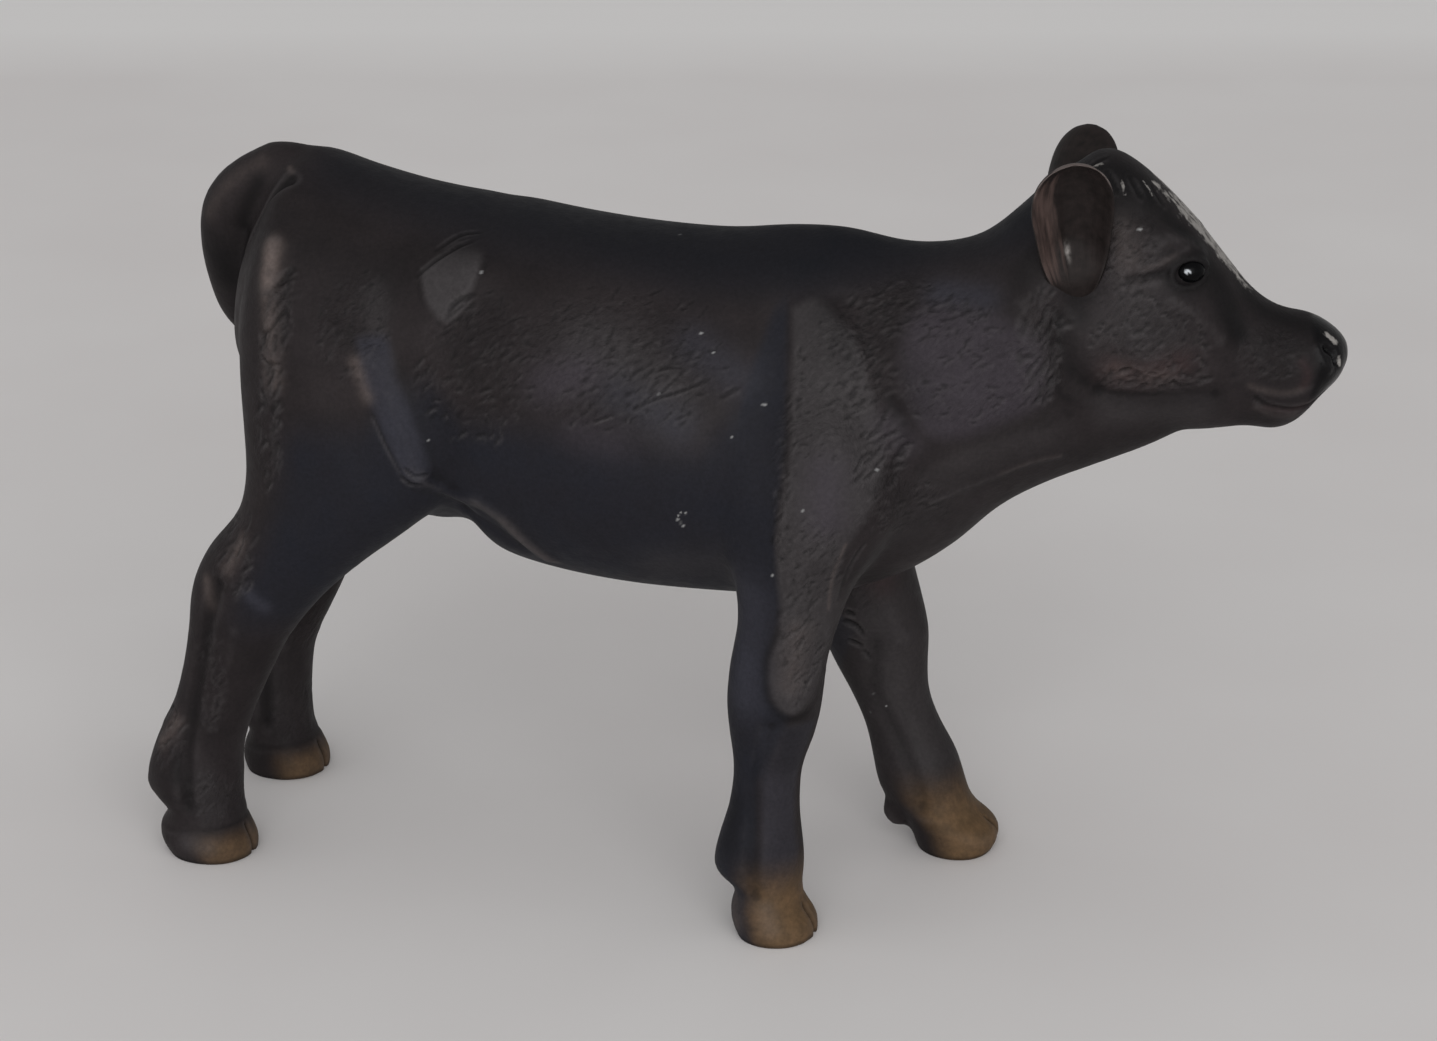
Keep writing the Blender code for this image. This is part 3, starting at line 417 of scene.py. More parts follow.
# Carved hair: middle of the patch over the side, x and z; half sizes; lean and spread in degrees; how many
# strokes on each side; longest; deepest
HAIR = [
    ("ribs", (-4.0, 42.3), (8.5, 4.4), 42, 24, 150, 1.0, 0.06),
    ("marks on the ribs", (-1.0, 41.0), (6.0, 3.0), 38, 12, 26, 1.5, 0.10),
    ("flank", (-13.5, 40.6), (4.5, 5.3), 50, 20, 90, 1.1, 0.07),
    ("shoulder", (11.8, 41.8), (2.8, 4.8), 38, 20, 90, 0.8, 0.06),
    ("shoulder's front", (14.0, 43.0), (1.5, 3.6), 38, 14, 44, 1.1, 0.08),
    ("shoulder point", (15.3, 37.4), (1.4, 2.6), 48, 14, 44, 1.2, 0.12),
    ("shoulder's back", (9.3, 36.0), (0.5, 8.0), 60, 20, 44, 0.8, 0.10),
    ("arm", (11.6, 30.4), (1.9, 3.2), 55, 16, 50, 1.0, 0.07),
    ("foreleg", (10.4, 23.4), (1.3, 4.8), 62, 14, 80, 1.1, 0.08),
    ("top of the neck", (16.4, 46.9), (4.6, 1.3), 33, 14, 70, 1.0, 0.08),
    ("neck", (20.0, 42.8), (4.4, 3.8), 46, 36, 80, 1.1, 0.055),
    ("behind the ear", (24.2, 44.4), (1.3, 4.2), 76, 16, 70, 1.5, 0.15),
    ("breast", (16.8, 33.4), (2.4, 2.0), 30, 25, 30, 0.8, 0.06),
    ("haunch", (-22.4, 42.8), (2.6, 3.6), 58, 18, 60, 1.0, 0.06),
    ("under the pin bone", (-28.3, 42.0), (1.0, 3.6), 62, 12, 40, 1.8, 0.20),
    ("buttock", (-28.7, 35.2), (1.0, 5.0), 66, 12, 34, 1.6, 0.15),
    ("hock", (-32.2, 24.6), (1.6, 3.2), 54, 10, 24, 1.9, 0.12),
    ("fetlock", (-38.5, 9.6), (1.3, 2.4), 58, 12, 14, 1.6, 0.12),
    ("cannon", (-34.6, 15.0), (1.0, 4.5), 70, 12, 24, 1.2, 0.05),
    ("pastern", (-35.4, 5.2), (1.6, 2.0), 70, 15, 24, 1.0, 0.05),
    ("cheek", (31.3, 45.2), (4.0, 3.6), 30, 60, 130, 0.7, 0.08),
    ("jaw edge", (31.4, 42.3), (3.6, 0.8), 24, 30, 60, 0.9, 0.14),
    ("temple", (29.8, 51.0), (2.0, 2.6), 30, 45, 70, 0.7, 0.08),
    ("muzzle", (39.5, 43.8), (2.2, 1.6), 15, 45, 50, 0.5, 0.05),
]
HAIR_WIDTH = 0.125
HAIR_LIP_SHARE = 0.50
# Uneven surface among the strokes: its size across them, its height as a share of their depth and at
# most, and how far it goes on past them
GRAIN_SIZE = 0.42
GRAIN_SHARE = 0.7
GRAIN_MOST = 0.05
GRAIN_MARGIN = 0.8
HAIR_SEED = 7

# Up the ear: share of its height; half width; half curl of its cross section in degrees; thickness
EAR_SECTIONS = [
    (0.00, 0.60, 88.0, 0.45),
    (0.08, 1.20, 87.0, 0.50),
    (0.18, 1.70, 86.0, 0.55),
    (0.32, 2.15, 82.0, 0.52),
    (0.50, 2.45, 76.0, 0.46),
    (0.66, 2.66, 70.0, 0.40),
    (0.80, 2.52, 64.0, 0.35),
    (0.90, 2.05, 58.0, 0.30),
    (0.97, 1.25, 50.0, 0.26),
    (1.00, 0.35, 45.0, 0.20),
]
EAR_HEIGHT = 11.9
# Up which share of its height the ear's hollow runs out to nothing
HOLLOW_ENDS = (0.14, 0.40)
EAR_ARC_POINTS = 40
# The fold in the hollow, and the glint painted in it: middle and width, as shares across the ear or up it
EAR_FOLD = (-0.30, 0.10)
EAR_FOLD_DEPTH = 0.16
EAR_GLINT_ACROSS = (-0.14, 0.06)
EAR_GLINT_UP = (0.32, 0.035)

# Ears on the straight head: side, root x, y, z; degrees splayed out, leaned forward, and turned to the front
EARS = {
    "ear_right": (-1, (26.4, 4.1, 47.3), 22.0, -2.0, 10.0),
    "ear_left": (1, (25.5, 4.1, 45.5), 22.0, 8.0, 24.0),
}

# Camera: degrees, and millimetres
CAMERA_AZIMUTH = 18.0
CAMERA_ELEVATION = 21.0
CAMERA_DISTANCE = 300.0
CAMERA_TARGET = (-1.613, 2.587, 26.45)
CAMERA_LENS = 103.72
# Metres from the middle, away from the camera, over which the floor turns paler
FLOOR_FAR_EDGE = (0.226, 0.250)

# Window light: metres, and watts
WINDOW_PLACE = (0.35, -0.90, 0.34)
WINDOW_SIZE = 1.0
WINDOW_POWER = 6.0


def smooth_step(value):
    value = np.clip(value, 0.0, 1.0)
    return value * value * (3.0 - 2.0 * value)


def rise(value, start, end):
    """0 before start, 1 after end, and a soft change between."""
    return smooth_step((value - start) / (end - start))


def bell(value, middle, width):
    """1 at the middle, falling softly to 0 on both sides."""
    return np.exp(-(((value - middle) / width) ** 2))


def neck_line():
    """The bent middle line: x before the bend, then x, y and heading where the bend carries it."""
    x = np.arange(0.0, 60.0, 0.05)
    heading = math.radians(NECK_TURN_DEGREES) * rise(x, NECK_TURN_START, NECK_TURN_END)
    middle = (heading[1:] + heading[:-1]) / 2
    step = x[1] - x[0]
    line_x = np.concatenate([[0.0], np.cumsum(np.cos(middle) * step)])
    line_y = np.concatenate([[0.0], np.cumsum(np.sin(middle) * step)])
    return x, line_x, line_y, heading


def turned(places, directions=None):
    """Places of the straight calf carried round by the turned neck, and directions there, if given."""
    x, line_x, line_y, heading = neck_line()
    places = np.array(places, float)
    ahead = places[:, 0] > NECK_TURN_START
    along, across = places[ahead, 0], places[ahead, 1]
    angle = np.interp(along, x, heading)
    moved = places.copy()
    moved[ahead, 0] = np.interp(along, x, line_x) - across * np.sin(angle)
    moved[ahead, 1] = np.interp(along, x, line_y) + across * np.cos(angle)
    if directions is None:
        return moved
    directions = np.array(directions, float)
    old_x, old_y = directions[ahead, 0].copy(), directions[ahead, 1].copy()
    directions[ahead, 0] = old_x * np.cos(angle) - old_y * np.sin(angle)
    directions[ahead, 1] = old_x * np.sin(angle) + old_y * np.cos(angle)
    return moved, directions


def between(rows, steps=STEPS_BETWEEN_SECTIONS):
    """The rows with smooth in-between rows added, as a Catmull-Rom curve through them."""
    rows = np.array(rows, float)
    padded = np.vstack([rows[:1], rows, rows[-1:]])
    a, b, c, d = (padded[start:start + len(rows) - 1, None, :] for start in range(4))
    t = (np.arange(steps) / steps)[None, :, None]
    curve = (2 * b + (c - a) * t + (2 * a - 5 * b + 4 * c - d) * t**2 + (3 * b - a - 3 * c + d) * t**3) / 2
    return np.vstack([curve.reshape(-1, rows.shape[1]), rows[-1:]])


def rounded(angle, roundness):
    """Across and up shares of a superellipse at an angle: 2 is an ellipse, more is boxier."""
    c, s = np.cos(angle), np.sin(angle)
    power = 2.0 / roundness
    return np.sign(c) * abs(c) ** power, np.sign(s) * abs(s) ** power


def standing_rings(rows):
    """Cross sections of the trunk or the head, each between its top and bottom points."""
    angle = np.linspace(0, 2 * math.pi, RING_POINTS, endpoint=False)[None, :]
    columns = [column[:, None] for column in between(rows).T]
    top_x, top_z, bottom_x, bottom_z, half_width, widest, round_top, round_bottom = columns
    across, up = rounded(angle, np.where(np.sin(angle) >= 0, round_top, round_bottom))
    share = widest + up * np.where(up >= 0, 1 - widest, widest)
    x = bottom_x + (top_x - bottom_x) * share
    z = bottom_z + (top_z - bottom_z) * share
    return np.stack([x, across * half_width, z], axis=2)


def level_rings(rows, side):
    """Level cross sections of a leg on the left (1) or the right (-1)."""
    angle = np.linspace(0, 2 * math.pi, RING_POINTS, endpoint=False)[None, :]
    z, back, front, middle_y, half_width = (column[:, None] for column in between(rows).T)
    across, along = rounded(angle, LEG_ROUNDNESS)
    x = (back + front) / 2 + along * (front - back) / 2
    y = side * (middle_y + across * half_width)
    return np.stack([x, y, np.broadcast_to(z, x.shape)], axis=2)


def tube_rings(rows, growth=0.0):
    """Round cross sections along a curved middle line."""
    rows = between(rows)
    middles, radii = rows[:, :3], rows[:, 3] + growth
    along = np.gradient(middles, axis=0)
    along /= np.linalg.norm(along, axis=1, keepdims=True)
    side = np.cross((0.0, 1.0, 0.0), along)
    side /= np.linalg.norm(side, axis=1, keepdims=True)
    across = np.cross(along, side)
    angle = np.linspace(0, 2 * math.pi, TAIL_SIDES, endpoint=False)[None, :, None]
    spokes = side[:, None, :] * np.cos(angle) + across[:, None, :] * np.sin(angle)
    return middles[:, None, :] + spokes * radii[:, None, None]


def loft(rings):
    """Vertices and faces of a closed body through rings of the same number of points."""
    count, around = rings.shape[:2]
    faces = []
    for row in range(count - 1):
        for index in range(around):
            after = (index + 1) % around
            low, high = row * around, (row + 1) * around
            faces.append((low + index, low + after, high + after, high + index))
    faces.append(tuple(range(around - 1, -1, -1)))
    faces.append(tuple(range((count - 1) * around, count * around)))
    return rings.reshape(-1, 3), faces


def ball(middle, half_sizes, around=24):
    """Vertices and faces of a ball or an egg."""
    fall = np.linspace(0.02, math.pi - 0.02, around // 2)[:, None]
    turn = np.linspace(0, 2 * math.pi, around, endpoint=False)[None, :]
    round_about = [np.sin(fall) * np.cos(turn), np.sin(fall) * np.sin(turn), np.cos(fall) + 0 * turn]
    return loft(np.stack(round_about, axis=2) * np.array(half_sizes) + np.array(middle))


def inside(outline, x, z, soft):
    """1 within the outline, 0 outside it, and a soft change over its line."""
    corners = between(np.array(outline + outline[:1], float), 4)[:-1]
    within = np.zeros(len(x), bool)
    gap = np.full(len(x), np.inf)
    for (x0, z0), (x1, z1) in zip(corners, np.roll(corners, -1, axis=0)):
        rising = z1 - z0 if abs(z1 - z0) > 1e-9 else 1e-9
        within ^= ((z0 > z) != (z1 > z)) & (x < x0 + (z - z0) * (x1 - x0) / rising)
        length = (x1 - x0) ** 2 + (z1 - z0) ** 2 + 1e-12
        t = np.clip(((x - x0) * (x1 - x0) + (z - z0) * (z1 - z0)) / length, 0, 1)
        gap = np.minimum(gap, np.hypot(x - x0 - t * (x1 - x0), z - z0 - t * (z1 - z0)))
    return smooth_step(0.5 + np.where(within, gap, -gap) / (2 * soft))


def placed(name, data):
    """A new object in the scene."""
    made = bpy.data.objects.new(name, data)
    bpy.context.scene.collection.objects.link(made)
    return made


def mesh_object(name, vertices, faces):
    data = bpy.data.meshes.new(name)
    data.from_pydata([tuple(vertex) for vertex in vertices], [], faces)
    mesh = bmesh.new()
    mesh.from_mesh(data)
    bmesh.ops.recalc_face_normals(mesh, faces=mesh.faces)
    mesh.to_mesh(data)
    mesh.free()
    return placed(name, data)


def joined(bodies):
    """Vertices and faces of several bodies as one list of each."""
    vertices, faces, count = [], [], 0
    for body_vertices, body_faces in bodies:
        vertices.append(body_vertices)
        faces += [tuple(index + count for index in face) for face in body_faces]
        count += len(body_vertices)
    return np.vstack(vertices), faces


def evaluated(piece):
    """The piece with its modifiers baked into its mesh."""
    bpy.context.view_layer.update()
    graph = bpy.context.evaluated_depsgraph_get()
    data = bpy.data.meshes.new_from_object(piece.evaluated_get(graph))
    piece.modifiers.clear()
    piece.data = data
    return piece


def vertex_array(data):
    places = np.zeros(len(data.vertices) * 3, np.float32)
    data.vertices.foreach_get("co", places)
    return places.reshape(-1, 3).astype(float)


def normal_array(data):
    normals = np.zeros(len(data.vertices) * 3, np.float32)
    data.vertex_normals.foreach_get("vector", normals)
    return normals.reshape(-1, 3).astype(float)


def set_places(data, places):
    data.vertices.foreach_set("co", np.ascontiguousarray(places, np.float32).ravel())
    data.update()


def edge_array(data):
    edges = np.zeros(len(data.edges) * 2, np.int32)
    data.edges.foreach_get("vertices", edges)
    return edges.reshape(-1, 2)


def eased(places, edges, passes, share):
    """Each point moved that share of the way to the middle of its neighbours, once in each pass."""
    count = len(places)
    first = np.concatenate([edges[:, 0], edges[:, 1]])
    second = np.concatenate([edges[:, 1], edges[:, 0]])
    neighbours = np.bincount(first, minlength=count)[:, None]
    for _ in range(passes):
        total = np.stack([np.bincount(first, places[second, axis], count) for axis in range(3)], axis=1)
        places = places + share * (total / neighbours - places)
    return places


def blended_skin():
    """The trunk, head, legs, tail and small knobs as one closed skin of small even faces."""
    bodies = [loft(standing_rings(rows)) for rows in (TRUNK_SECTIONS, HEAD_SECTIONS)]
    bodies.append(loft(tube_rings(TAIL_SECTIONS)))
    for name, rows in LEG_SECTIONS.items():
        bodies.append(loft(level_rings(rows, side_of(name))))
    for (x, y, z), half_sizes, apart in DEWCLAWS:
        bodies += [ball((x, y + side * apart, z), half_sizes) for side in BOTH_SIDES]
    bodies.append(ball(*SHEATH))
    skin = mesh_object("skin", *joined(bodies))
    remesh = skin.modifiers.new("one_skin", "REMESH")
    remesh.mode = "VOXEL"
    remesh.voxel_size = VOXEL
    evaluated(skin)
    places = vertex_array(skin.data)
    low = rise(places[:, 2], *HOOVES_KEEP_HEIGHTS)[:, None]
    share = BLEND_SHARE * (1.0 - HOOVES_KEEP * low)
    set_places(skin.data, eased(places, edge_array(skin.data), BLEND_PASSES, share))
    skin.modifiers.new("finer", "SUBSURF").levels = 1
    return evaluated(skin)


def side_of(name):
    return -1 if "right" in name else 1


def leg_at(name, height):
    """Back x, front x and middle y of a leg at a height, or at each of several."""
    table = np.array(LEG_SECTIONS[name])[::-1]
    back, front, middle_y = (np.interp(height, table[:, 0], table[:, column]) for column in (1, 2, 3))
    return back, front, side_of(name) * middle_y


def spaced(path, gap=0.5):
    """A smooth path through these points, with a point about every gap."""
    if len(path) == 1:
        return [tuple(path[0])]
    path = np.array(path, float)
    length = np.linalg.norm(np.diff(path, axis=0), axis=1).sum()
    steps = max(1, int(math.ceil(length / gap / (len(path) - 1))))
    return [tuple(point) for point in between(path, steps)]


def distance_to(path, places):
    """The least distance from each place to the path, and how far along the path that is, from 0 to 1."""
    if len(path) == 1:
        return np.linalg.norm(places - path[0], axis=1), np.full(len(places), 0.5)
    best = np.full(len(places), np.inf)
    share = np.zeros(len(places))
    for index, (start, end) in enumerate(zip(path[:-1], path[1:])):
        line = end - start
        t = np.clip((places - start) @ line / max(line @ line, 1e-9), 0.0, 1.0)
        gap = np.linalg.norm(places - start - t[:, None] * line, axis=1)
        closer = gap < best
        best[closer] = gap[closer]
        share[closer] = (index + t[closer]) / (len(path) - 1)
    return best, share


class Sculpt:
    """The skin while it is worked: its points, their normals, and what the painter needs to know of them."""

    def __init__(self, piece):
        self.data = piece.data
        self.places = vertex_array(self.data)
        self.masks = {name: np.zeros(len(self.places)) for name in MASKS}
        self.refresh()

    def refresh(self):
        set_places(self.data, self.places)
        self.normals = normal_array(self.data)
        mesh = bmesh.new()
        mesh.from_mesh(self.data)
        self.tree = BVHTree.FromBMesh(mesh)
        mesh.free()
        self.order = np.argsort(self.places[:, 0])
        self.ordered_x = self.places[self.order, 0]

    def push(self, amounts):
        """Moves each point along its normal."""
        self.places = self.places + self.normals * amounts[:, None]
        self.refresh()

    def paint(self, name, strength, index=slice(None)):
        """Lays one of the masks on the points of the index, or on all of them."""
        mask = self.masks[name]
        mask[index] = np.maximum(mask[index], strength)

    def point(self, spot, side, inner=False):
        """The skin at an x and z, met from the side or from the middle plane, or nearest to a point."""
        if len(spot) == 3:
            return np.array(self.tree.find_nearest(Vector((spot[0], side * spot[1], spot[2])))[0])
        x, z = spot
        start = Vector((x, side * (0.1 if inner else 40.0), z))
        aim = Vector((0.0, side if inner else -side, 0.0))
        found = self.tree.ray_cast(start, aim)[0]
        if found is None:
            found = self.tree.find_nearest(Vector((x, side * 3.0, z)))[0]
        return np.array(found)

    def path(self, points, side, inner=False):
        return np.array([self.point(spot, side, inner) for spot in spaced(points)])

    def near(self, path, reach):
        """Which points of the skin are in the path's box, grown by reach."""
        low, high = path.min(axis=0) - reach, path.max(axis=0) + reach
        first, last = np.searchsorted(self.ordered_x, (low[0], high[0]))
        some = self.order[first:last]
        return some[np.all((self.places[some] > low) & (self.places[some] < high), axis=1)]

    def bump(self, path, width):
        """A soft bump of height 1 along the path: the points that it reaches, and its height there."""
        index = self.near(path, 2.6 * width)
        gap, _ = distance_to(path, self.places[index])
        return index, bell(gap, 0.0, width)

    def brush(self, name, points, side, width, strength, inner=False):
        """Lays a mask along a path, softly."""
        index, bump = self.bump(self.path(points, side, inner), width)
        self.paint(name, strength * bump, index)

    def ridge(self, amounts, points, side, width, height, inner=False):
        """Adds a soft ridge along a path to the amounts to push, or a furrow where the height is below 0."""
        index, bump = self.bump(self.path(points, side, inner), width)
        amounts[index] += height * bump


def work_forms(sculpt, table):
    """Raises and sinks the forms of a table, all at once."""
    amounts = np.zeros(len(sculpt.places))
    for name, width, height, path in table:
        for side in BOTH_SIDES:
            sculpt.ridge(amounts, path, side, width, height)
    sculpt.push(amounts)


def work_eyelids(sculpt):
    """Lids around each eye."""
    amounts = np.zeros(len(sculpt.places))
    x, _, z = EYE
    wide, _, high = EYE_HALF_SIZES
    for side in BOTH_SIDES:
        for width, height, start, end in LIDS:
            angles = np.radians(np.linspace(start, end, 9))
            path = [(x + math.cos(a) * wide * LID_GAP, z + math.sin(a) * high * LID_GAP) for a in angles]
            sculpt.ridge(amounts, path, side, width, height)
            # painted shade round the eye, along each lid
            sculpt.brush("painted_shade", path, side, EYE_LINE, 1.0)
    sculpt.push(amounts)


def work_legs(sculpt):
    """Tendon grooves, coronets and cleft toes."""
    amounts = np.zeros(len(sculpt.places))
    for name in LEG_SECTIONS:
        side, pair = side_of(name), name.split("_")[0]
        for width, height, path in LEG_GROOVES[pair]:
            points = []
            for z, share in path:
                back, front, _ = leg_at(name, z)
                points.append((back + share * (front - back), z))
            for inner in (False, True):
                sculpt.ridge(amounts, points, side, width, height, inner)
                # painted shade in each groove
                if height < 0:
                    sculpt.brush("painted_shade", points, side, width, GROOVE_SHADE[pair], inner)
        amounts += coronet_and_cleft(sculpt, name, *CORONET[pair])
    sculpt.push(amounts)


def coronet_and_cleft(sculpt, name, width, height):
    """The line where horn meets hair, and the slot between the two claws."""
    x, y, z = sculpt.places.T
    back, front, middle_y = leg_at(name, 1.0)
    foot = (z < 5.0) & (abs(y - middle_y) < 5.0) & (x > back - 1.5) & (x < front + 1.5)
    share = (x - back) / (front - back)
    line = CORONET_HEIGHT + 0.5 * (share - 0.5)
    around = bell(z, line, width) * foot * rise(share, 0.0, 0.25)
    slot = bell(y, middle_y, CLEFT[0]) * foot * rise(share, 0.75, 0.88) * rise(z, 2.6, 1.8)
    # painted shade in the coronet's groove and in the slot between the claws
    sculpt.paint("painted_shade", np.maximum(-3.0 * height * around, 0.9 * slot))
    return height * around + CLEFT[1] * slot


def work_patches(sculpt):
    """Outlined places that stand a little proud and have their own paint."""
    amounts = np.zeros(len(sculpt.places))
    for name, lift, soft, paint, strength, outline in PATCHES:
        low, high = np.min(outline, axis=0) - soft, np.max(outline, axis=0) + soft
        for side in BOTH_SIDES:
            index = sculpt.near(side_box(side, low, high), 0.1)
            facing = rise(sculpt.normals[index, 1] * side, 0.0, 0.35)
            share = inside(outline, sculpt.places[index, 0], sculpt.places[index, 2], soft) * facing
            amounts[index] += lift * share
            sculpt.paint(paint, strength * share, index)
    sculpt.push(amounts)


def side_box(side, low, high):
    """Two corners of a box from the middle plane past one side, between two points in x and z."""
    return np.array([(low[0], 0.0, low[1]), (high[0], side * 30.0, high[1])])


def work_grain(sculpt):
    """The uneven, chiselled surface among the strokes of carved hair, drawn out along them."""
    amounts = np.zeros(len(sculpt.places))
    for name, (x, z), (half_x, half_z), lean, _, _, _, deepest in HAIR:
        c, s = math.cos(math.radians(lean)), math.sin(math.radians(lean))
        wide, high = half_x + GRAIN_MARGIN, half_z + GRAIN_MARGIN
        for side in BOTH_SIDES:
            box = side_box(side, (x - half_x, z - half_z), (x + half_x, z + half_z))
            index = sculpt.near(box, GRAIN_MARGIN)
            spots = sculpt.places[index]
            gap = np.hypot((spots[:, 0] - x) / wide, (spots[:, 2] - z) / high)
            index, spots, gap = index[gap < 1.0], spots[gap < 1.0], gap[gap < 1.0]
            along = (spots[:, 0] * c + spots[:, 2] * s) / (2.0 * GRAIN_SIZE)
            across = (spots[:, 2] * c - spots[:, 0] * s) / GRAIN_SIZE
            wave = np.array([unevenness(point) for point in zip(along, across, spots[:, 1] / GRAIN_SIZE)])
            patch = rise(gap, 1.0, 0.6)
            amounts[index] += min(GRAIN_MOST, GRAIN_SHARE * deepest) * wave * patch
            sculpt.paint("haired", patch, index)
    sculpt.push(amounts)


def work_hair(sculpt):
    """Carved lines and short strokes, each a groove with a small lip on its lower edge."""
    chance = random.Random(HAIR_SEED)
    amounts = np.zeros(len(sculpt.places))
    for name, line_sides, lines in LINES:
        for width, depth, path in lines:
            for side in line_sides:
                carve_stroke(sculpt, amounts, sculpt.path(path, side), depth, width)
    for name, (x, z), (half_x, half_z), lean, spread, count, longest, deepest in HAIR:
        wide = HAIR_WIDTH * (0.7 + 4.0 * deepest)
        for side in BOTH_SIDES:
            for _ in range(count):
                angle, reach = chance.uniform(0, 2 * math.pi), math.sqrt(chance.random())
                start = (x + half_x * reach * math.cos(angle), z + half_z * reach * math.sin(angle))
                slope = math.radians(chance.gauss(lean, spread))
                length = longest * chance.uniform(0.35, 1.0)
                bend = chance.gauss(0, 0.25)
                depth = deepest * chance.uniform(0.3, 1.0) ** 1.5
                path = []
                for step in range(4):
                    turn = slope + bend * step
                    path.append(start)
                    start = (start[0] + math.cos(turn) * length / 3, start[1] + math.sin(turn) * length / 3)
                line = np.array([sculpt.point(spot, side) for spot in path])
                if np.linalg.norm(np.diff(line, axis=0), axis=1).max() < length:
                    carve_stroke(sculpt, amounts, line, depth, chance.uniform(0.7, 1.3) * wide)
    sculpt.push(amounts)


def carve_stroke(sculpt, amounts, line, depth, width):
    index = sculpt.near(line, 4 * width)
    if not len(index):
        return
    gap, share = distance_to(line, sculpt.places[index])
    taper = np.sqrt(np.clip(4 * share * (1 - share) + 0.12, 0, 1))
    lower = line - np.array((0.0, 0.0, 1.7 * width))
    lip_gap, _ = distance_to(lower, sculpt.places[index])
    groove = bell(gap, 0.0, width) * taper
    lip = bell(lip_gap, 0.0, width) * taper
    amounts[index] += depth * (HAIR_LIP_SHARE * lip - groove)
    # painted shade in the groove, and a painted highlight on the lip where light catches it
    for mask, bump, full_depth in (("painted_shade", groove, 0.20), ("painted_highlight", lip, 0.12)):
        sculpt.paint(mask, np.minimum(0.8, depth / full_depth) * bump, index)


def cut_copy(piece, cutter, operation, name):
    """A new piece: this one after a Boolean with the cutter."""
    made = placed(name, piece.data.copy())
    modifier = made.modifiers.new("cut", "BOOLEAN")
    modifier.operation = operation
    modifier.object = cutter
    modifier.solver = "MANIFOLD"
    return evaluated(made)


def cut_away(rest, cutter):
    left = cut_copy(rest, cutter, "DIFFERENCE", "rest")
    rest.data = left.data
    bpy.data.objects.remove(left)
    bpy.data.objects.remove(cutter)


def part_off(rest, cutter, name):
    """Takes the piece inside the cutter off the rest; returns it."""
    piece = cut_copy(rest, cutter, "INTERSECT", name)
    cut_away(rest, cutter)
    return piece


def outline_plate(outline, low_y, high_y):
    """Vertices and faces of a plate of this side outline between two y planes."""
    path = between(np.array(outline + outline[:1]), 6)[:-1]
    count = len(path)
    vertices = np.array([(x, y, z) for y in (low_y, high_y) for x, z in path])
    faces = [(i, (i + 1) % count, count + (i + 1) % count, count + i) for i in range(count)]
    faces += [tuple(range(count)), tuple(range(2 * count - 1, count - 1, -1))]
    return vertices, faces


def block(low, high):
    """Vertices and faces of a box, for cutting."""
    corners = [(x, y, z) for x in (low[0], high[0]) for y in (low[1], high[1]) for z in (low[2], high[2])]
    faces = [(0, 1, 3, 2), (4, 5, 7, 6), (0, 1, 5, 4), (2, 3, 7, 6), (0, 2, 6, 4), (1, 3, 7, 5)]
    return np.array(corners, float), faces


def neck_cutter():
    """A block ahead of the leaning neck seam."""
    corners, faces = block((0, -20, -25), (40, 20, 25))
    turn = np.array(Matrix.Rotation(math.radians(NECK_SEAM_LEAN_DEGREES), 3, "Y"))
    return mesh_object("ahead", corners @ turn.T + np.array(NECK_SEAM_POINT), faces)


def split_ahead(piece, x, name):
    """Parts a piece of two loose bodies: returns a new one with the body ahead of x."""
    ahead = placed(name, piece.data.copy())
    for data, keep_ahead in ((piece.data, False), (ahead.data, True)):
        mesh = bmesh.new()
        mesh.from_mesh(data)
        bmesh.ops.delete(mesh, geom=[v for v in mesh.verts if (v.co.x > x) != keep_ahead], context="VERTS")
        mesh.to_mesh(data)
        mesh.free()
    return ahead


def parted(skin):
    """The skin parted as the CAD parts it; the cuts meet, so no gap shows."""
    cut_away(skin, mesh_object("under_the_floor", *block((-60, -30, -10), (60, 30, 0))))
    tail_cutter = mesh_object("tail_cut", *loft(tube_rings(TAIL_SECTIONS[1:], TAIL_CUT_GROWTH)))
    pieces = {"tail": part_off(skin, tail_cutter, "tail")}
    for hind_name, fore_name in (("hind_leg_right", "fore_leg_right"), ("hind_leg_left", "fore_leg_left")):
        side = side_of(hind_name)
        low, high = sorted((side * INNER_FACE_Y, side * 30.0))
        plates = joined([outline_plate(outline, low, high) for outline in (HAUNCH_SEAM, SHOULDER_SEAM)])
        pieces[hind_name] = part_off(skin, mesh_object("plates", *plates), hind_name)
        pieces[fore_name] = split_ahead(pieces[hind_name], LEG_PARTING_X, fore_name)
    pieces["head"] = part_off(skin, neck_cutter(), "head")
    pieces["trunk_and_neck"] = skin
    return pieces


def to_model(places):
    """Millimetres of the calf's own frame to metres of the model's frame."""
    return (places + np.array(FRAME_SHIFT)) * MM


def set_attribute(data, name, values, kind="FLOAT"):
    attribute = data.attributes.new(name, kind, "POINT")
    field = "value" if kind == "FLOAT" else "vector"
    attribute.data.foreach_set(field, np.ascontiguousarray(values, np.float32).ravel())


def dress(piece, material):
    """Gives a piece its paint and soft shading, and lets it ride on the figure."""
    piece.data.materials.clear()
    piece.data.materials.append(material)
    piece.data.shade_smooth()
    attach(piece, "root")


def stand_for(piece, node):
    """Names a piece for its node, and stands it in the node's place."""
    piece.name = "moulded_" + node
    piece.data.name = piece.name
    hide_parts(node)


def same_points(data, places, sculpt, tree):
    """For each vertex of a cut piece the point of the whole skin that it was, or for a new one the nearest.
    A vertex that a cut made has a number that lies off its place."""
    kept = np.zeros(len(places), np.float32)
    data.attributes["number"].data.foreach_get("value", kept)
    index = np.clip(np.rint(kept).astype(int) - 1, 0, len(sculpt.places) - 1)
    for row in np.flatnonzero(np.linalg.norm(sculpt.places[index] - places, axis=1) > 0.002):
        index[row] = tree.find(places[row])[1]
    data.attributes.remove(data.attributes["number"])
    return index


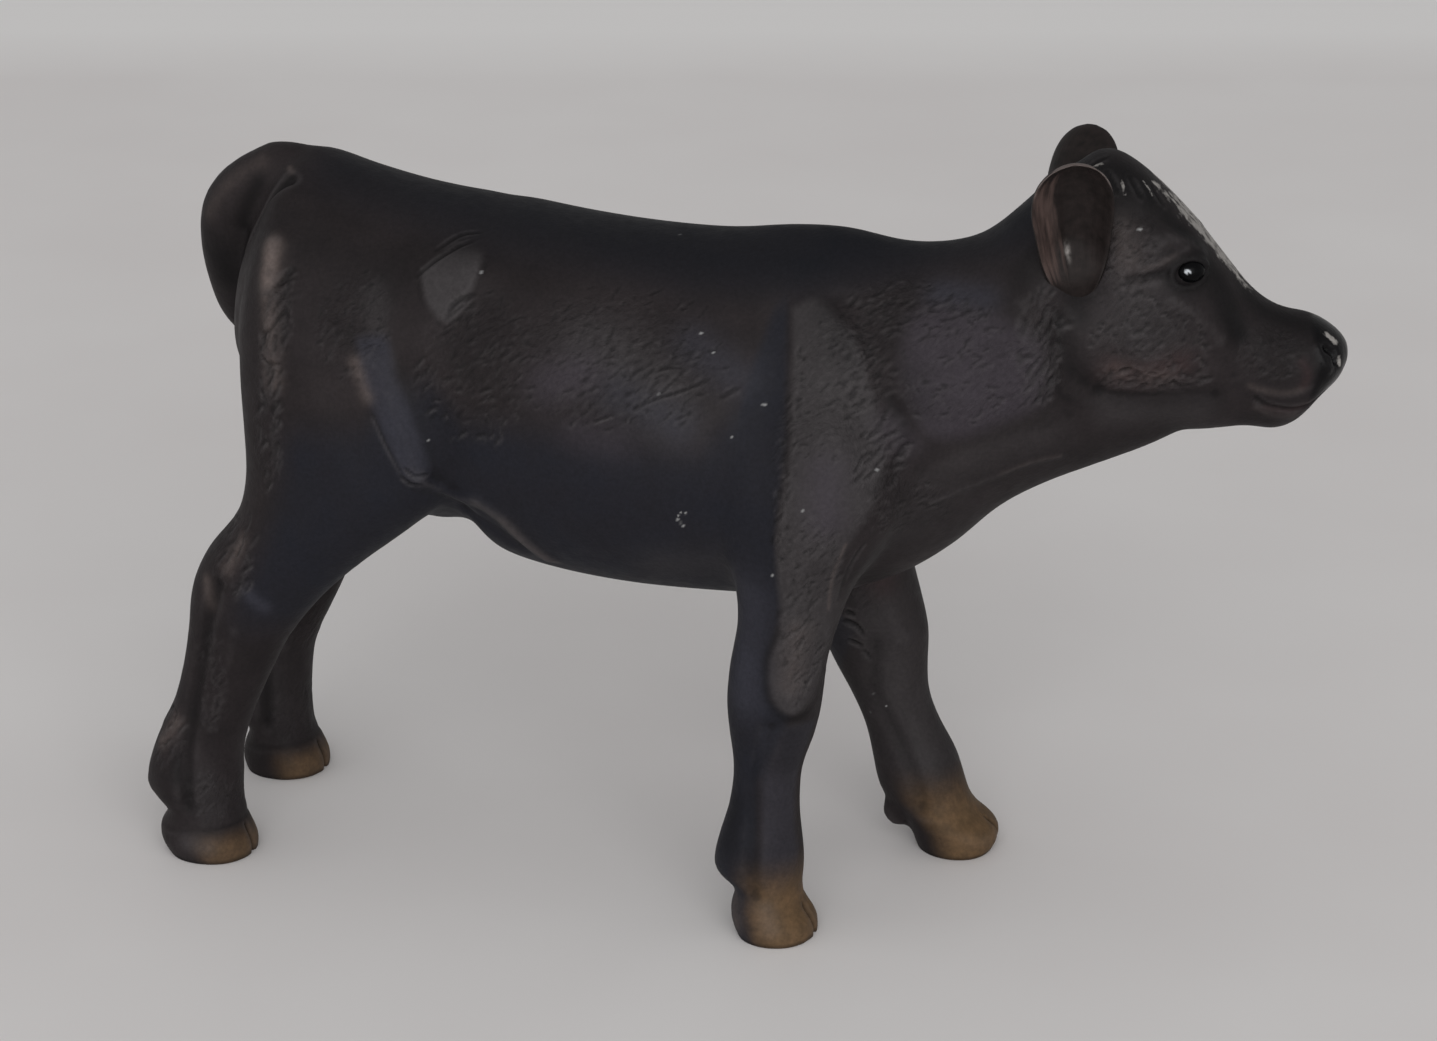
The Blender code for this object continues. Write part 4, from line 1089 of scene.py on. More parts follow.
def finish_skin_piece(piece, node, sculpt, tree, material):
    """Turns the neck, carries the masks and the whole skin's normals over, so that no seam shows."""
    data = piece.data
    places = vertex_array(data)
    index = same_points(data, places, sculpt, tree)
    for name, values in sculpt.masks.items():
        set_attribute(data, name, values[index])
    moved, normals = turned(places, sculpt.normals[index])
    set_places(data, to_model(moved))
    stand_for(piece, node)
    dress(piece, material)
    data.normals_split_custom_set_from_vertices([tuple(normal) for normal in normals])


# Painted shade that darkens the hollows and painted highlights that lighten the edges: passes of smoothing
# that show them, depth, and strength
CAVITIES = [(6, 0.02, 0.6), (40, 0.14, 0.8)]

# What the painter can lay on, as masks over the skin
MASKS = (
    "blue", "steel", "grey", "violet", "black", "warm_paint_and_highlight", "rosy", "painted_shade", "painted_highlight", "horn", "wear_and_glint", "chip",
    "gloss", "haired",
)

# Edges of the airbrushed blue, as x and z: its lower edge on the back, its upper edge on the belly and thighs
BACK_BLUE_EDGE = [
    (-36.0, 54.0), (-27.0, 51.3), (-19.8, 49.7), (-13.5, 48.7), (-6.0, 47.9), (1.4, 47.1), (8.5, 47.3),
    (15.0, 48.7), (21.4, 50.7), (30.0, 54.5),
]
BELLY_BLUE_EDGE = [
    (-40.0, 30.0), (-30.0, 34.0), (-25.9, 35.8), (-21.4, 36.0), (-18.6, 39.0), (-16.6, 39.4), (-14.0, 37.0),
    (-9.6, 37.4), (-2.4, 37.4), (3.2, 37.0), (5.6, 40.0), (7.0, 46.0), (8.3, 48.0), (20.0, 48.0),
]
# Lines that end the blue, as z and x: behind the shoulder and down the foreleg, and before the brown hock
SHOULDER_LINE = [
    (4.8, 7.3), (12.4, 7.2), (18.1, 9.7), (19.2, 8.3), (22.3, 8.2), (25.3, 9.0), (28.8, 9.3), (31.5, 8.9),
    (35.1, 9.2), (38.3, 9.2), (40.8, 8.8), (43.8, 8.4), (46.4, 7.9),
]
HOCK_LINE = [(14.0, -32.0), (20.0, -32.6), (26.0, -29.6), (32.0, -27.4), (40.0, -27.0)]
# Painted horn: height at which it ends and is full, share of the way forwards likewise, and strength
HORN = {"hind": (2.8, 1.0, 0.43, 0.80, 0.65), "fore": (7.2, 2.4, 0.20, 0.62, 0.95)}
# The nose's black gloss: middle height, bow of its edge per mm off that, and where in x and z it starts
NOSE_MIDDLE_Z = 43.2
NOSE_EDGE_BOW = 0.20
NOSE_EDGE_X = (42.6, 43.2)
NOSE_EDGE_Z = (40.3, 41.0)

# Airbrushed places, painted shade and painted highlights on both sides, by mask: width, strength, and path
AIRBRUSH = {
    "grey": [
        (2.6, 0.85, [(-5.0, 43.2), (-1.5, 41.8), (1.0, 40.0)]),
        (1.4, 0.8, [(12.8, 34.0), (12.2, 30.0)]),
        (1.0, 0.6, [(-21.2, 45.4), (-20.8, 43.2)]),
        (1.4, 0.55, [(-35.8, 6.4), (-35.2, 4.4)]),
        (1.4, 0.5, [(29.0, 39.8), (32.0, 39.6), (35.0, 39.8)]),
        (2.2, 0.4, [(0.0, 27.6), (4.0, 28.0)]),
        (2.2, 0.4, [(16.6, 31.6), (20.6, 36.6), (24.0, 38.0)]),
        # a painted highlight along the flank fold
        (0.55, 0.9, [(-13.4, 31.0), (-11.4, 29.9), (-9.9, 27.9), (-8.6, 26.4)]),
        (3.0, 0.65, [(29.4, 51.0), (30.2, 47.0), (31.4, 44.8)]),
    ],
    "violet": [
        (1.8, 0.7, [(-7.6, 40.8), (-5.4, 41.6)]),
        (1.6, 0.45, [(-5.2, 37.8), (-2.6, 37.4)]),
        (1.6, 0.7, [(12.4, 36.6), (12.6, 33.6)]),
        (1.2, 0.6, [(15.8, 39.2), (16.6, 38.2)]),
    ],
    "steel": [
        (1.6, 0.6, [(-2.6, 40.6), (1.6, 38.8)]),
        (1.6, 0.55, [(2.0, 43.8), (5.2, 42.0)]),
        (1.2, 0.7, [(18.0, 47.8), (20.6, 47.8)]),
        (0.6, 0.8, [(-30.9, 22.2), (-29.9, 21.3)]),
        (1.8, 0.9, [(6.8, 26.4), (6.4, 22.4), (6.2, 19.0)]),
    ],
    # lighter, warmer paint, and painted highlights on the pin bone, thigh ridge, tail, hock, fetlock, brow,
    # lips and folds
    "warm_paint_and_highlight": [
        (1.0, 0.25, [(10.4, 24.6), (9.8, 20.6)]),
        (0.8, 1.0, [(-29.4, 47.7), (-29.1, 45.6)]),
        (0.8, 0.45, [(-28.9, 44.4), (-28.2, 41.0), (-28.0, 39.0)]),
        (0.5, 0.5, [(-21.9, 41.0), (-20.9, 38.6)]),
        (0.7, 0.22, [(-37.0, 1.6, 47.6), (-35.8, 1.6, 49.4), (-34.4, 1.8, 50.8), (-32.9, 1.8, 51.8)]),
        (0.22, 0.45, [(-30.6, 2.6, 52.2), (-29.8, 3.2, 51.6)]),
        (0.9, 0.45, [(5.4, 2.6), (5.6, 1.2)]),
        (0.4, 0.18, [(-11.4, 29.9), (-9.9, 27.9), (-8.6, 26.4)]),
        (0.6, 0.45, [(-31.4, 26.2), (-32.6, 24.0)]),
        (0.5, 0.45, [(-34.6, 22.6), (-34.2, 20.8)]),
        (0.7, 0.5, [(-39.0, 9.2), (-37.8, 10.8)]),
        (0.8, 0.25, [(29.2, 43.0), (32.6, 42.6)]),
        (1.2, 0.22, [(29.2, 52.6), (29.8, 50.8)]),
        (0.25, 0.2, [(30.9, 50.3), (32.0, 50.7), (33.0, 51.1)]),
        (0.25, 0.22, [(38.4, 41.7), (39.2, 41.4), (40.6, 41.2), (41.8, 41.5)]),
        (0.3, 0.1, [(38.8, 40.0), (39.8, 39.5), (41.4, 39.4)]),
        (0.2, 0.12, [(25.6, 36.3), (23.7, 36.0), (21.9, 35.3)]),
        (0.14, 0.35, [(13.7, 31.5), (12.9, 29.4), (12.5, 27.9), (12.2, 26.1)]),
    ],
    # black paint, and painted shade in front of the shoulder, in the flank's hollow, on the tail's lower
    # part, under the brow, in the throat, under the jaw and under the ear
    "black": [
        (1.8, 0.4, [(11.2, 46.2), (12.2, 44.6)]),
        (1.4, 0.3, [(16.6, 42.6), (17.4, 40.6)]),
        (1.0, 0.4, [(5.6, 10.4), (5.2, 7.4)]),
        (3.0, 0.3, [(-26.0, 47.6), (-21.0, 46.8)]),
        (2.4, 0.2, [(-13.2, 38.2), (-12.6, 41.6)]),
        (1.6, 0.35, [(9.6, 16.4), (9.2, 14.6)]),
        (1.6, 0.8, [(-36.4, 2.6, 44.0), (-35.8, 3.4, 40.0), (-35.0, 5.0, 35.0)]),
        (1.6, 0.35, [(39.0, 44.8), (41.6, 44.6)]),
        (2.4, 1.0, [(24.6, 1.6, 54.6), (26.4, 2.0, 55.8), (28.4, 2.6, 55.8), (30.8, 2.6, 54.8)]),
        (1.1, 0.8, [
            (31.2, 2.9, 54.4), (33.2, 3.0, 52.5), (35.2, 3.2, 50.2), (36.6, 3.2, 47.6), (37.4, 3.4, 45.6),
        ]),
        (0.8, 0.55, [(30.2, 53.9), (31.8, 53.4), (33.2, 52.7)]),
        (1.4, 0.8, [(38.0, 1.5, 47.6), (41.0, 1.5, 45.9), (43.6, 1.5, 44.8)]),
        (1.0, 0.4, [(25.4, 46.6), (26.3, 43.9), (28.1, 41.9)]),
        (0.9, 0.35, [(28.9, 41.0), (30.9, 40.7), (33.3, 40.8), (35.9, 40.9)]),
        (0.9, 0.55, [(26.0, 49.0), (26.6, 46.8)]),
        (0.9, 0.45, [(24.3, 52.4), (23.0, 49.6)]),
    ],
    # painted highlights on the hooves' faces
    "painted_highlight": [
        (0.8, 0.5, [(-36.8, 1.6), (-35.4, 1.4)]),
        (0.8, 0.5, [(8.0, 2.6), (8.4, 1.4)]),
    ],
    # painted shade in grooves, folds, creases, the mouth, the tail crease and round the eye
    "painted_shade": [
        (0.35, 0.6, [(9.1, 24.6), (8.1, 22.2), (8.2, 19.6), (9.3, 17.9), (10.6, 18.0)]),
        (0.75, 0.9, [
            (-32.9, 2.0, 50.3), (-34.0, 2.3, 48.2), (-34.4, 2.3, 46.0), (-34.6, 2.0, 43.6),
            (-34.6, 1.2, 41.0),
        ]),
        (0.3, 0.85, [(32.4, 49.6), (33.2, 49.0), (34.4, 48.9), (35.2, 49.5)]),
        (0.26, 0.9, [(32.6, 50.2), (33.3, 50.8), (34.3, 50.9), (35.1, 50.3)]),
        (0.35, 0.55, FOLD_BEHIND_EYE),
        (0.85, 0.45, [(35.3, 49.2), (36.3, 47.4), (37.3, 45.4)]),
        (0.12, 0.5, [(38.9, 40.7), (39.2, 40.5), (40.3, 40.1), (41.4, 40.0), (42.6, 40.3), (43.5, 41.0)]),
        (0.35, 0.5, [(24.6, 46.0), (25.1, 43.4), (25.4, 41.7), (26.2, 40.9)]),
        (0.4, 1.0, CREASE_BESIDE_TAIL),
        (0.6, 0.7, [(-37.4, 8.4), (-37.4, 6.6)]),
        (0.7, 0.3, [(15.2, 41.6), (16.6, 39.2), (16.2, 36.6), (15.4, 35.0)]),
        (0.18, 0.55, [(-18.4, 46.5), (-17.4, 47.5), (-16.1, 48.3)]),
    ],
    "rosy": [
        (1.2, 0.55, [(29.2, 43.0), (31.0, 42.8), (33.4, 43.6)]),
        (0.35, 0.4, [(41.8, 43.4), (42.2, 42.6), (42.0, 41.8)]),
        (0.25, 0.3, [(39.4, 40.1), (41.0, 39.9), (42.6, 40.5)]),
    ],
    # worn pale paint on the bridge of the nose; on the forelock and the top of the nose, pale dry-brushing
    # that is also a painted highlight; and painted glints on the glossy nose
    "wear_and_glint": [
        (0.5, 0.65, [(31.4, 1.0, 54.9), (33.0, 1.0, 53.3)]),
        (0.8, 0.85, [(33.4, 0.9, 52.9), (34.6, 0.9, 51.6), (36.2, 0.7, 49.7)]),
        (0.5, 0.75, [(36.2, 0.7, 49.7), (38.0, 0.5, 47.8)]),
        (0.14, 0.5, [(25.4, 1.0, 55.8), (27.1, 1.7, 56.6), (28.1, 2.0, 56.8)]),
        (0.13, 0.6, [(29.2, 2.8, 55.8), (29.4, 3.4, 54.9)]),
        (0.14, 0.7, [(30.7, 1.9, 55.5), (31.3, 2.6, 54.6)]),
        (0.32, 0.85, [(43.7, 1.6, 44.9), (44.1, 1.8, 44.5)]),
        (0.18, 0.6, [(44.4, 2.2, 43.4), (44.4, 2.2, 42.9)]),
    ],
}
# The same, on the left side alone
LEFT_AIRBRUSH = {
    "grey": [
        (3.0, 0.85, [(11.0, 5, 26.0), (11.0, 5, 20.0), (12.6, 6, 13.0), (14.6, 7, 8.0)]),
        (2.0, 0.4, [(-37.0, 5, 10.0), (-37.0, 5, 5.0)]),
    ],
    "rosy": [
        (1.3, 0.5, [(12.0, 5, 24.4), (12.2, 5, 22.0)]),
    ],
    "wear_and_glint": [
        (0.7, 0.75, [(32.6, 0.0, 53.8), (34.6, 0.0, 51.6), (37.0, 0.0, 48.9)]),
    ],
}

# Small chips in the paint on the right side: x and z, or x, distance out and z; and radius
SPECKS = [
    ((7.3, 40.3), 0.12), ((2.3, 44.5), 0.08), ((3.4, 43.4), 0.07), ((0.2, 40.7), 0.09), ((1.2, 33.4), 0.07),
    ((1.9, 32.5), 0.09), ((2.2, 32.4), 0.08), ((1.7, 32.2), 0.09), ((1.6, 31.9), 0.09),
    ((1.75, 31.6), 0.09), ((2.0, 31.4), 0.08), ((15.3, 36.5), 0.09), ((5.4, 38.1), 0.07),
    ((-1.4, 1.3, 49.1), 0.07), ((-13.8, 47.1), 0.1), ((-16.8, 35.6), 0.07), ((30.5, 52.8), 0.13),
    ((16.5, 42.6), 0.07), ((8.7, 28.8), 0.1), ((10.2, 24.0), 0.06), ((11.0, 34.0), 0.06),
    ((10.6, -7.1, 12.4), 0.08), ((11.6, -7.2, 11.5), 0.08), ((10.3, -7.2, 10.8), 0.08),
]


def on_line(line, value):
    """The second number of a line of pairs, where the first is this value."""
    return np.interp(value, *np.array(line).T)


def paint_blue(sculpt):
    """Airbrushed blue-black, over the back, and over the belly and thighs as far forward as the shoulder."""
    x, _, z = sculpt.places.T
    over_back = rise(z - on_line(BACK_BLUE_EDGE, x), -1.8, 1.8) * rise(x, 29.0, 24.0) * rise(x, -31.0, -26.0)
    under_belly = rise(on_line(BELLY_BLUE_EDGE, x) - z, -2.0, 2.0)
    behind_shoulder = rise(x - on_line(SHOULDER_LINE, z), 0.45, -0.45) * under_belly * rise(x, -40.0, -30.0)
    low_hind = rise(x, -12.0, -16.0) * rise(z, 22.0, 17.0)
    hock_brown = rise(x - on_line(HOCK_LINE, z), 1.6, -1.6) * rise(x, -20.0, -26.0)
    belly = behind_shoulder * (1.0 - low_hind) * (1.0 - hock_brown)
    sculpt.paint("blue", np.maximum(over_back, belly))
    sculpt.paint("black", 0.5 * over_back)


def paint_hooves(sculpt):
    """Tan horn that fades out upwards and backwards, and painted shade along the bottom of each hoof."""
    x, y, z = sculpt.places.T
    for name in LEG_SECTIONS:
        back, front, _ = leg_at(name, z)
        share = (x - back) / (front - back)
        here = (share > -0.5) & (share < 1.5) & (y * side_of(name) > 0) & (z < 10.0)
        top, foot, start, end, strength = HORN[name.split("_")[0]]
        sculpt.paint("horn", rise(z, top, foot) * rise(share, start, end) * strength * here)
        # painted shade along the bottom of the hoof, where it meets the floor
        sculpt.paint("painted_shade", here * rise(z, 0.35, 0.1) * 0.7)


def paint_nose(sculpt):
    x, _, z = sculpt.places.T
    bowed = x + NOSE_EDGE_BOW * abs(z - NOSE_MIDDLE_Z)
    sculpt.paint("gloss", rise(bowed, *NOSE_EDGE_X) * rise(z, *NOSE_EDGE_Z))


def paint_strokes(sculpt):
    for sides, table in ((BOTH_SIDES, AIRBRUSH), (LEFT, LEFT_AIRBRUSH)):
        for mask, strokes in table.items():
            for width, strength, path in strokes:
                for side in sides:
                    sculpt.brush(mask, path, side, width, strength)


def paint_shade_and_highlights(sculpt):
    """Painted shade in the hollows, and painted highlights on the edges."""
    for passes, depth, strength in CAVITIES:
        smoothed = eased(sculpt.places, edge_array(sculpt.data), passes, 0.5)
        hollow = np.einsum("ij,ij->i", smoothed - sculpt.places, sculpt.normals)
        # painted shade in the hollows, and painted highlights on the edges
        sculpt.paint("painted_shade", strength * rise(hollow, 0.15 * depth, depth))
        sculpt.paint("painted_highlight", 0.5 * strength * rise(-hollow, 0.3 * depth, 1.4 * depth))


def paint_chips(sculpt):
    for spot, radius in SPECKS:
        line = np.array([sculpt.point(spot, *RIGHT)])
        index = sculpt.near(line, 2.5 * radius)
        gap, _ = distance_to(line, sculpt.places[index])
        sculpt.paint("chip", rise(gap, 1.3 * radius, 0.6 * radius), index)


def colour(code):
    """An sRGB hex colour as linear light."""
    shares = [int(code[start:start + 2], 16) / 255 for start in (1, 3, 5)]
    return (*[c / 12.92 if c <= 0.04045 else ((c + 0.055) / 1.055) ** 2.4 for c in shares], 1.0)


def fill(tree, node, inputs):
    """Gives each of a node's inputs its value, or links another node's output to it."""
    for key, value in inputs.items():
        if isinstance(value, bpy.types.NodeSocket):
            tree.links.new(value, node.inputs[key])
        else:
            node.inputs[key].default_value = value


def add(tree, kind, settings, inputs):
    """Adds a node with its settings and its inputs."""
    node = tree.nodes.new("ShaderNode" + kind)
    for name, value in settings.items():
        setattr(node, name, value)
    fill(tree, node, inputs)
    return node


def new_material(name):
    """A material, its nodes, its shader, and places over the object in metres."""
    material = bpy.data.materials.new(name)
    material.use_nodes = True
    tree = material.node_tree
    return material, tree, tree.nodes["Principled BSDF"], add(tree, "TexCoord", {}, {}).outputs["Object"]


def blend(tree, share, first, second):
    """The output of a colour mix."""
    return add(tree, "Mix", {"data_type": "RGBA"}, {0: share, 6: first, 7: second}).outputs[2]


def multiply(tree, first, second):
    return add(tree, "Math", {"operation": "MULTIPLY", "use_clamp": True}, {0: first, 1: second}).outputs[0]


def spread(tree, value, low=0.0, high=1.0, to_low=0.0, to_high=1.0):
    """A value's range from low to high, spread over another range."""
    return add(tree, "MapRange", {}, {0: value, 1: low, 2: high, 3: to_low, 4: to_high}).outputs[0]


def brushed(tree, mask, marks, softness=0.5):
    """A mask broken up by brush marks: full where it is 1, and only on the marks' tops where it is faint."""
    high = add(tree, "Math", {"operation": "MULTIPLY_ADD"}, {0: mask, 1: 1.0 + softness, 2: marks}).outputs[0]
    return spread(tree, high, 1.0, 1.0 + softness)


def mask_value(tree, name):
    return add(tree, "Attribute", {"attribute_name": name}, {}).outputs["Fac"]


def noise(tree, place, size, detail, low=0.35, high=0.65):
    """Noise with features of this size in millimetres, spread between 0 and 1."""
    settings = {"Vector": place, "Scale": 1.0 / (size * MM), "Detail": detail, "Roughness": 0.55}
    return spread(tree, add(tree, "TexNoise", {}, settings).outputs[0], low, high)


def dented(tree, strength, depth, height, under=None):
    """A bumped normal: depth in millimetres, over another bump if there is one."""
    inputs = {"Strength": strength, "Distance": depth * MM, "Height": height}
    if under:
        inputs["Normal"] = under
    return add(tree, "Bump", {}, inputs).outputs[0]


# Paints laid thinly on the brown ground, in this order
COATS = {
    "blue": "#1d1e25",
    "grey": "#3a3738",
    "steel": "#33333b",
    "violet": "#3b363c",
    "black": "#0b0b0c",
    "rosy": "#3c2a2a",
}
# Painted highlights on edges, painted shade in the hollows, and the nose's gloss, laid on after them: mask,
# colour, and how strongly
LAST_COATS = [("painted_highlight", "#6a6667", 0.35), ("painted_shade", "#0c0b0c", 0.8), ("gloss", "#080709", 0.9)]
# How much of a plastic's usual shine the paint has
COAT_SHEEN = 0.11


def painted_vinyl():
    """Hand paint on moulded vinyl: thin matt acrylic, airbrushed in soft clouds, near-black with a faint
    sheen and never one flat tone; painted shade darkens its carving and hollows, and painted highlights
    lighten its edges."""
    material, tree, shader, place = new_material("hand_painted_vinyl")
    masks = {name: mask_value(tree, name) for name in MASKS}
    clouds = noise(tree, place, 5.0, 3.0)
    mottle = noise(tree, place, 0.9, 4.0, 0.3, 0.7)
    grain = noise(tree, place, 0.28, 2.0, 0.3, 0.7)

    tint = blend(tree, clouds, colour("#201c1d"), colour("#292425"))
    thin = spread(tree, clouds, to_low=0.72)
    for name, code in COATS.items():
        tint = blend(tree, multiply(tree, masks[name], thin), tint, colour(code))
    # lighter, warmer paint and painted highlights
    warm_paint_and_highlight = multiply(tree, masks["warm_paint_and_highlight"], spread(tree, mottle, to_low=0.55))
    tint = blend(tree, warm_paint_and_highlight, tint, colour("#665b57"))
    horn = blend(tree, mottle, colour("#564430"), colour("#6b543c"))
    tint = blend(tree, masks["horn"], tint, horn)
    # painted highlights on edges, painted shade in the hollows, then the nose's gloss
    for name, code, strength in LAST_COATS:
        tint = blend(tree, multiply(tree, masks[name], strength), tint, colour(code))
    # worn pale paint, with painted glints and highlights on the forelock and the nose
    wear_and_glint_breakup = noise(tree, place, 0.55, 5.0, 0.38, 0.66)
    wear_and_glint_share = multiply(tree, brushed(tree, masks["wear_and_glint"], wear_and_glint_breakup, 0.8), 0.85)
    tint = blend(tree, wear_and_glint_share, tint, colour("#a09c98"))
    tint = blend(tree, masks["chip"], tint, colour("#8f8f8f"))
    tint = blend(tree, 0.22, tint, blend(tree, grain, tint, colour("#000000")))
    rough = spread(tree, mottle, to_low=0.52, to_high=0.64)
    rough = add(tree, "Mix", {"data_type": "FLOAT"}, {0: masks["gloss"], 2: rough, 3: 0.30}).outputs[0]
    combed = {"Vector": place, "Rotation": (0.0, math.radians(-48), 0.0), "Scale": (1.6, 0.5, 0.5)}
    lean = add(tree, "Mapping", {"vector_type": "TEXTURE"}, combed).outputs[0]
    hair = noise(tree, lean, 0.5, 3.0, 0.3, 0.7)
    hair_bump = dented(tree, multiply(tree, masks["haired"], 0.8), 0.07, hair)
    bump = dented(tree, 0.35, 0.03, grain, hair_bump)
    values = {"Base Color": tint, "Roughness": rough, "Specular IOR Level": COAT_SHEEN, "Normal": bump}
    fill(tree, shader, values)
    return material


def painted_ear_vinyl():
    """The ears' paint: the coat's near-black, thinner and browner in the hollow, with pinkish streaks up the
    back of the hollow, lightened there as painted light, a painted highlight along the near ear's edge, and a
    painted glint."""
    material, tree, shader, place = new_material("hand_painted_vinyl_ear")
    leaf = add(tree, "Attribute", {"attribute_name": "leaf"}, {}).outputs["Vector"]
    hollow, rim_highlight, streaked, glint = (mask_value(tree, name) for name in ("hollow", "rim_highlight", "streaked", "glint"))
    mottle = noise(tree, place, 0.7, 4.0, 0.3, 0.7)
    stretched = add(tree, "Mapping", {}, {"Vector": leaf, "Scale": (6.0, 6.0, 3.5)}).outputs[0]
    streaks = add(tree, "TexNoise", {}, {"Vector": stretched, "Scale": 1.0, "Detail": 3.0}).outputs[0]
    streaks = spread(tree, streaks, 0.40, 0.66)
    inside_tint = blend(tree, mottle, colour("#1a1615"), colour("#272120"))
    # pinkish streaks of paint, lightened as painted light on the back wall of the hollow
    inside_tint = blend(tree, brushed(tree, streaked, streaks, 1.2), inside_tint, colour("#51433f"))
    outside_tint = blend(tree, mottle, colour("#191615"), colour("#272120"))
    tint = blend(tree, hollow, outside_tint, inside_tint)
    # a painted highlight along the near ear's edge
    tint = blend(tree, multiply(tree, brushed(tree, rim_highlight, mottle, 0.8), 0.6), tint, colour("#776c69"))
    tint = blend(tree, multiply(tree, glint, mottle), tint, colour("#a9a4a0"))
    bump = dented(tree, 0.3, 0.05, streaks)
    values = {"Base Color": tint, "Roughness": 0.55, "Specular IOR Level": COAT_SHEEN, "Normal": bump}
    fill(tree, shader, values)
    return material


def varnished_eye():
    """A drop of clear gloss varnish over black paint, with its glints as painted white reflections."""
    material, tree, shader, place = new_material("varnished_eye")
    tint = blend(tree, noise(tree, place, 1.2, 1.0), colour("#040405"), colour("#0a0a0b"))
    # the glints, painted white reflections
    tint = blend(tree, mask_value(tree, "painted_glint"), tint, colour("#b9bdc2"))
    fill(tree, shader, {"Base Color": tint, "Roughness": 0.25, "Specular IOR Level": 0.06})
    return material


def pale_floor():
    """A pale grey painted tabletop, matt, a little cloudy in its tone, and paler beyond its far edge."""
    material, tree, shader, place = new_material("pale_painted_floor")
    tint = blend(tree, noise(tree, place, 60.0, 3.0), colour("#e2dedd"), colour("#e7e4e3"))
    turning = {"Vector": place, "Angle": -math.radians(CAMERA_AZIMUTH)}
    turn = add(tree, "VectorRotate", {"rotation_type": "Z_AXIS"}, turning)
    away = add(tree, "SeparateXYZ", {}, {0: turn.outputs[0]}).outputs[1]
    tint = blend(tree, spread(tree, away, *FLOOR_FAR_EDGE), tint, colour("#f0eeed"))
    fill(tree, shader, {"Base Color": tint, "Roughness": 0.6})
    return material


def ear_place(name):
    """Where the ear's root stands on the straight head, as a turn and a point in millimetres."""
    side, root, splay, lean, turn = EARS[name]
    return (
        Matrix.Translation((root[0], side * root[1], root[2]))
        @ Matrix.Rotation(-side * math.radians(splay), 4, "X")
        @ Matrix.Rotation(math.radians(lean), 4, "Y")
        @ Matrix.Rotation(-side * math.radians(turn), 4, "Z")
    )


def ear_arc(row, side, inner):
    """One face of the ear's cross section, as points round an arc, with the fold on the inner face."""
    share, half_width, curl_degrees, thickness = row
    across = np.linspace(-1.0, 1.0, EAR_ARC_POINTS)
    t = across[::-1] if inner else across
    curl = math.radians(curl_degrees)
    radius = half_width / math.sin(min(curl, math.pi / 2))
    rounding = (-1 if inner else 1) * thickness / 2 * np.sqrt(1.0 - abs(t) ** 7)
    fold = EAR_FOLD_DEPTH * bell(t, *EAR_FOLD) * math.sin(math.pi * min(1.0, share * 1.15)) * inner
    r = radius + rounding - fold
    x, out = r * np.sin(t * curl), radius * math.cos(curl) - r * np.cos(t * curl)
    if inner:
        filled = 1.0 - rise(share, *HOLLOW_ENDS)
        out = out + filled * (out[0] + 0.15 * half_width * (1.0 - t * t) - out)
    return t, np.stack([x, side * out, np.full(len(t), share * EAR_HEIGHT)], axis=1)


def ear_piece(name, material):
    """A cupped leaf: up it, cross sections curled like a C that opens outwards, with rounded rims."""
    side = EARS[name][0]
    rows = between(EAR_SECTIONS, 10)
    rings, leaf = [], []
    masks = {"hollow": [], "rim_highlight": [], "streaked": [], "glint": []}
    for row in rows:
        share = row[0]
        for inner in (False, True):
            t, points = ear_arc(row, side, inner)
            face = 1.0 if inner else -1.0
            rings.append(points)
            leaf.append(np.stack([t, np.full(len(t), face), np.full(len(t), share)], axis=1))
            # a painted highlight along the ear's edge and top, which only the near ear gets
            rim_highlight = rise(abs(t), 0.94, 0.98) * rise(share, 0.70, 0.90) + rise(share, 0.95, 0.98)
            # pinkish streaks up the back wall of the hollow, lightened there as painted light
            streaked = rise(t, -0.1, -0.5) * rise(share, 0.98, 0.80) * rise(share, 0.1, 0.3) * 0.6
            masks["hollow"].append(np.full(len(t), float(inner)))
            masks["rim_highlight"].append(rim_highlight * (side < 0))
            masks["streaked"].append(streaked * inner)
            masks["glint"].append(bell(t, *EAR_GLINT_ACROSS) * bell(share, *EAR_GLINT_UP) * inner)
    vertices, faces = loft(np.array(rings).reshape(len(rows), -1, 3))
    piece = mesh_object(name, vertices, faces)
    place = np.array(ear_place(name))
    moved = vertices @ place[:3, :3].T + place[:3, 3]
    set_places(piece.data, to_model(turned(moved)))
    set_attribute(piece.data, "leaf", np.concatenate(leaf), "FLOAT_VECTOR")
    for mask, values in masks.items():
        set_attribute(piece.data, mask, np.clip(np.concatenate(values), 0.0, 1.0))
    stand_for(piece, name)
    dress(piece, material)


def egg_share(vertices, middle_x, middle_z, half_x, half_z):
    """1 within an oval on the eye's face, 0 outside it."""
    wide, _, high = EYE_HALF_SIZES
    gap = np.hypot((vertices[:, 0] * wide - middle_x) / half_x, (vertices[:, 2] * high - middle_z) / half_z)
    return rise(gap, 1.15, 0.85)


def eye_piece(name, side, material):
    """A varnished eyeball, a little flattened, with its painted glint."""
    x, y, z = EYE
    vertices, faces = ball((0.0, 0.0, 0.0), (1.0, 1.0, 1.0), 64)
    piece = mesh_object(name, vertices, faces)
    # a painted reflection with a dark notch, and a second, fainter one
    painted_glint = egg_share(vertices, *GLINTS[0]) * (1.0 - egg_share(vertices, *GLINT_NOTCH))
    painted_glint = np.maximum(painted_glint, 0.5 * egg_share(vertices, *GLINTS[1]))
    set_attribute(piece.data, "painted_glint", painted_glint * (vertices[:, 1] * side > 0))
    moved = vertices * np.array(EYE_HALF_SIZES) + np.array((x, side * y, z))
    set_places(piece.data, to_model(turned(moved)))
    dress(piece, material)


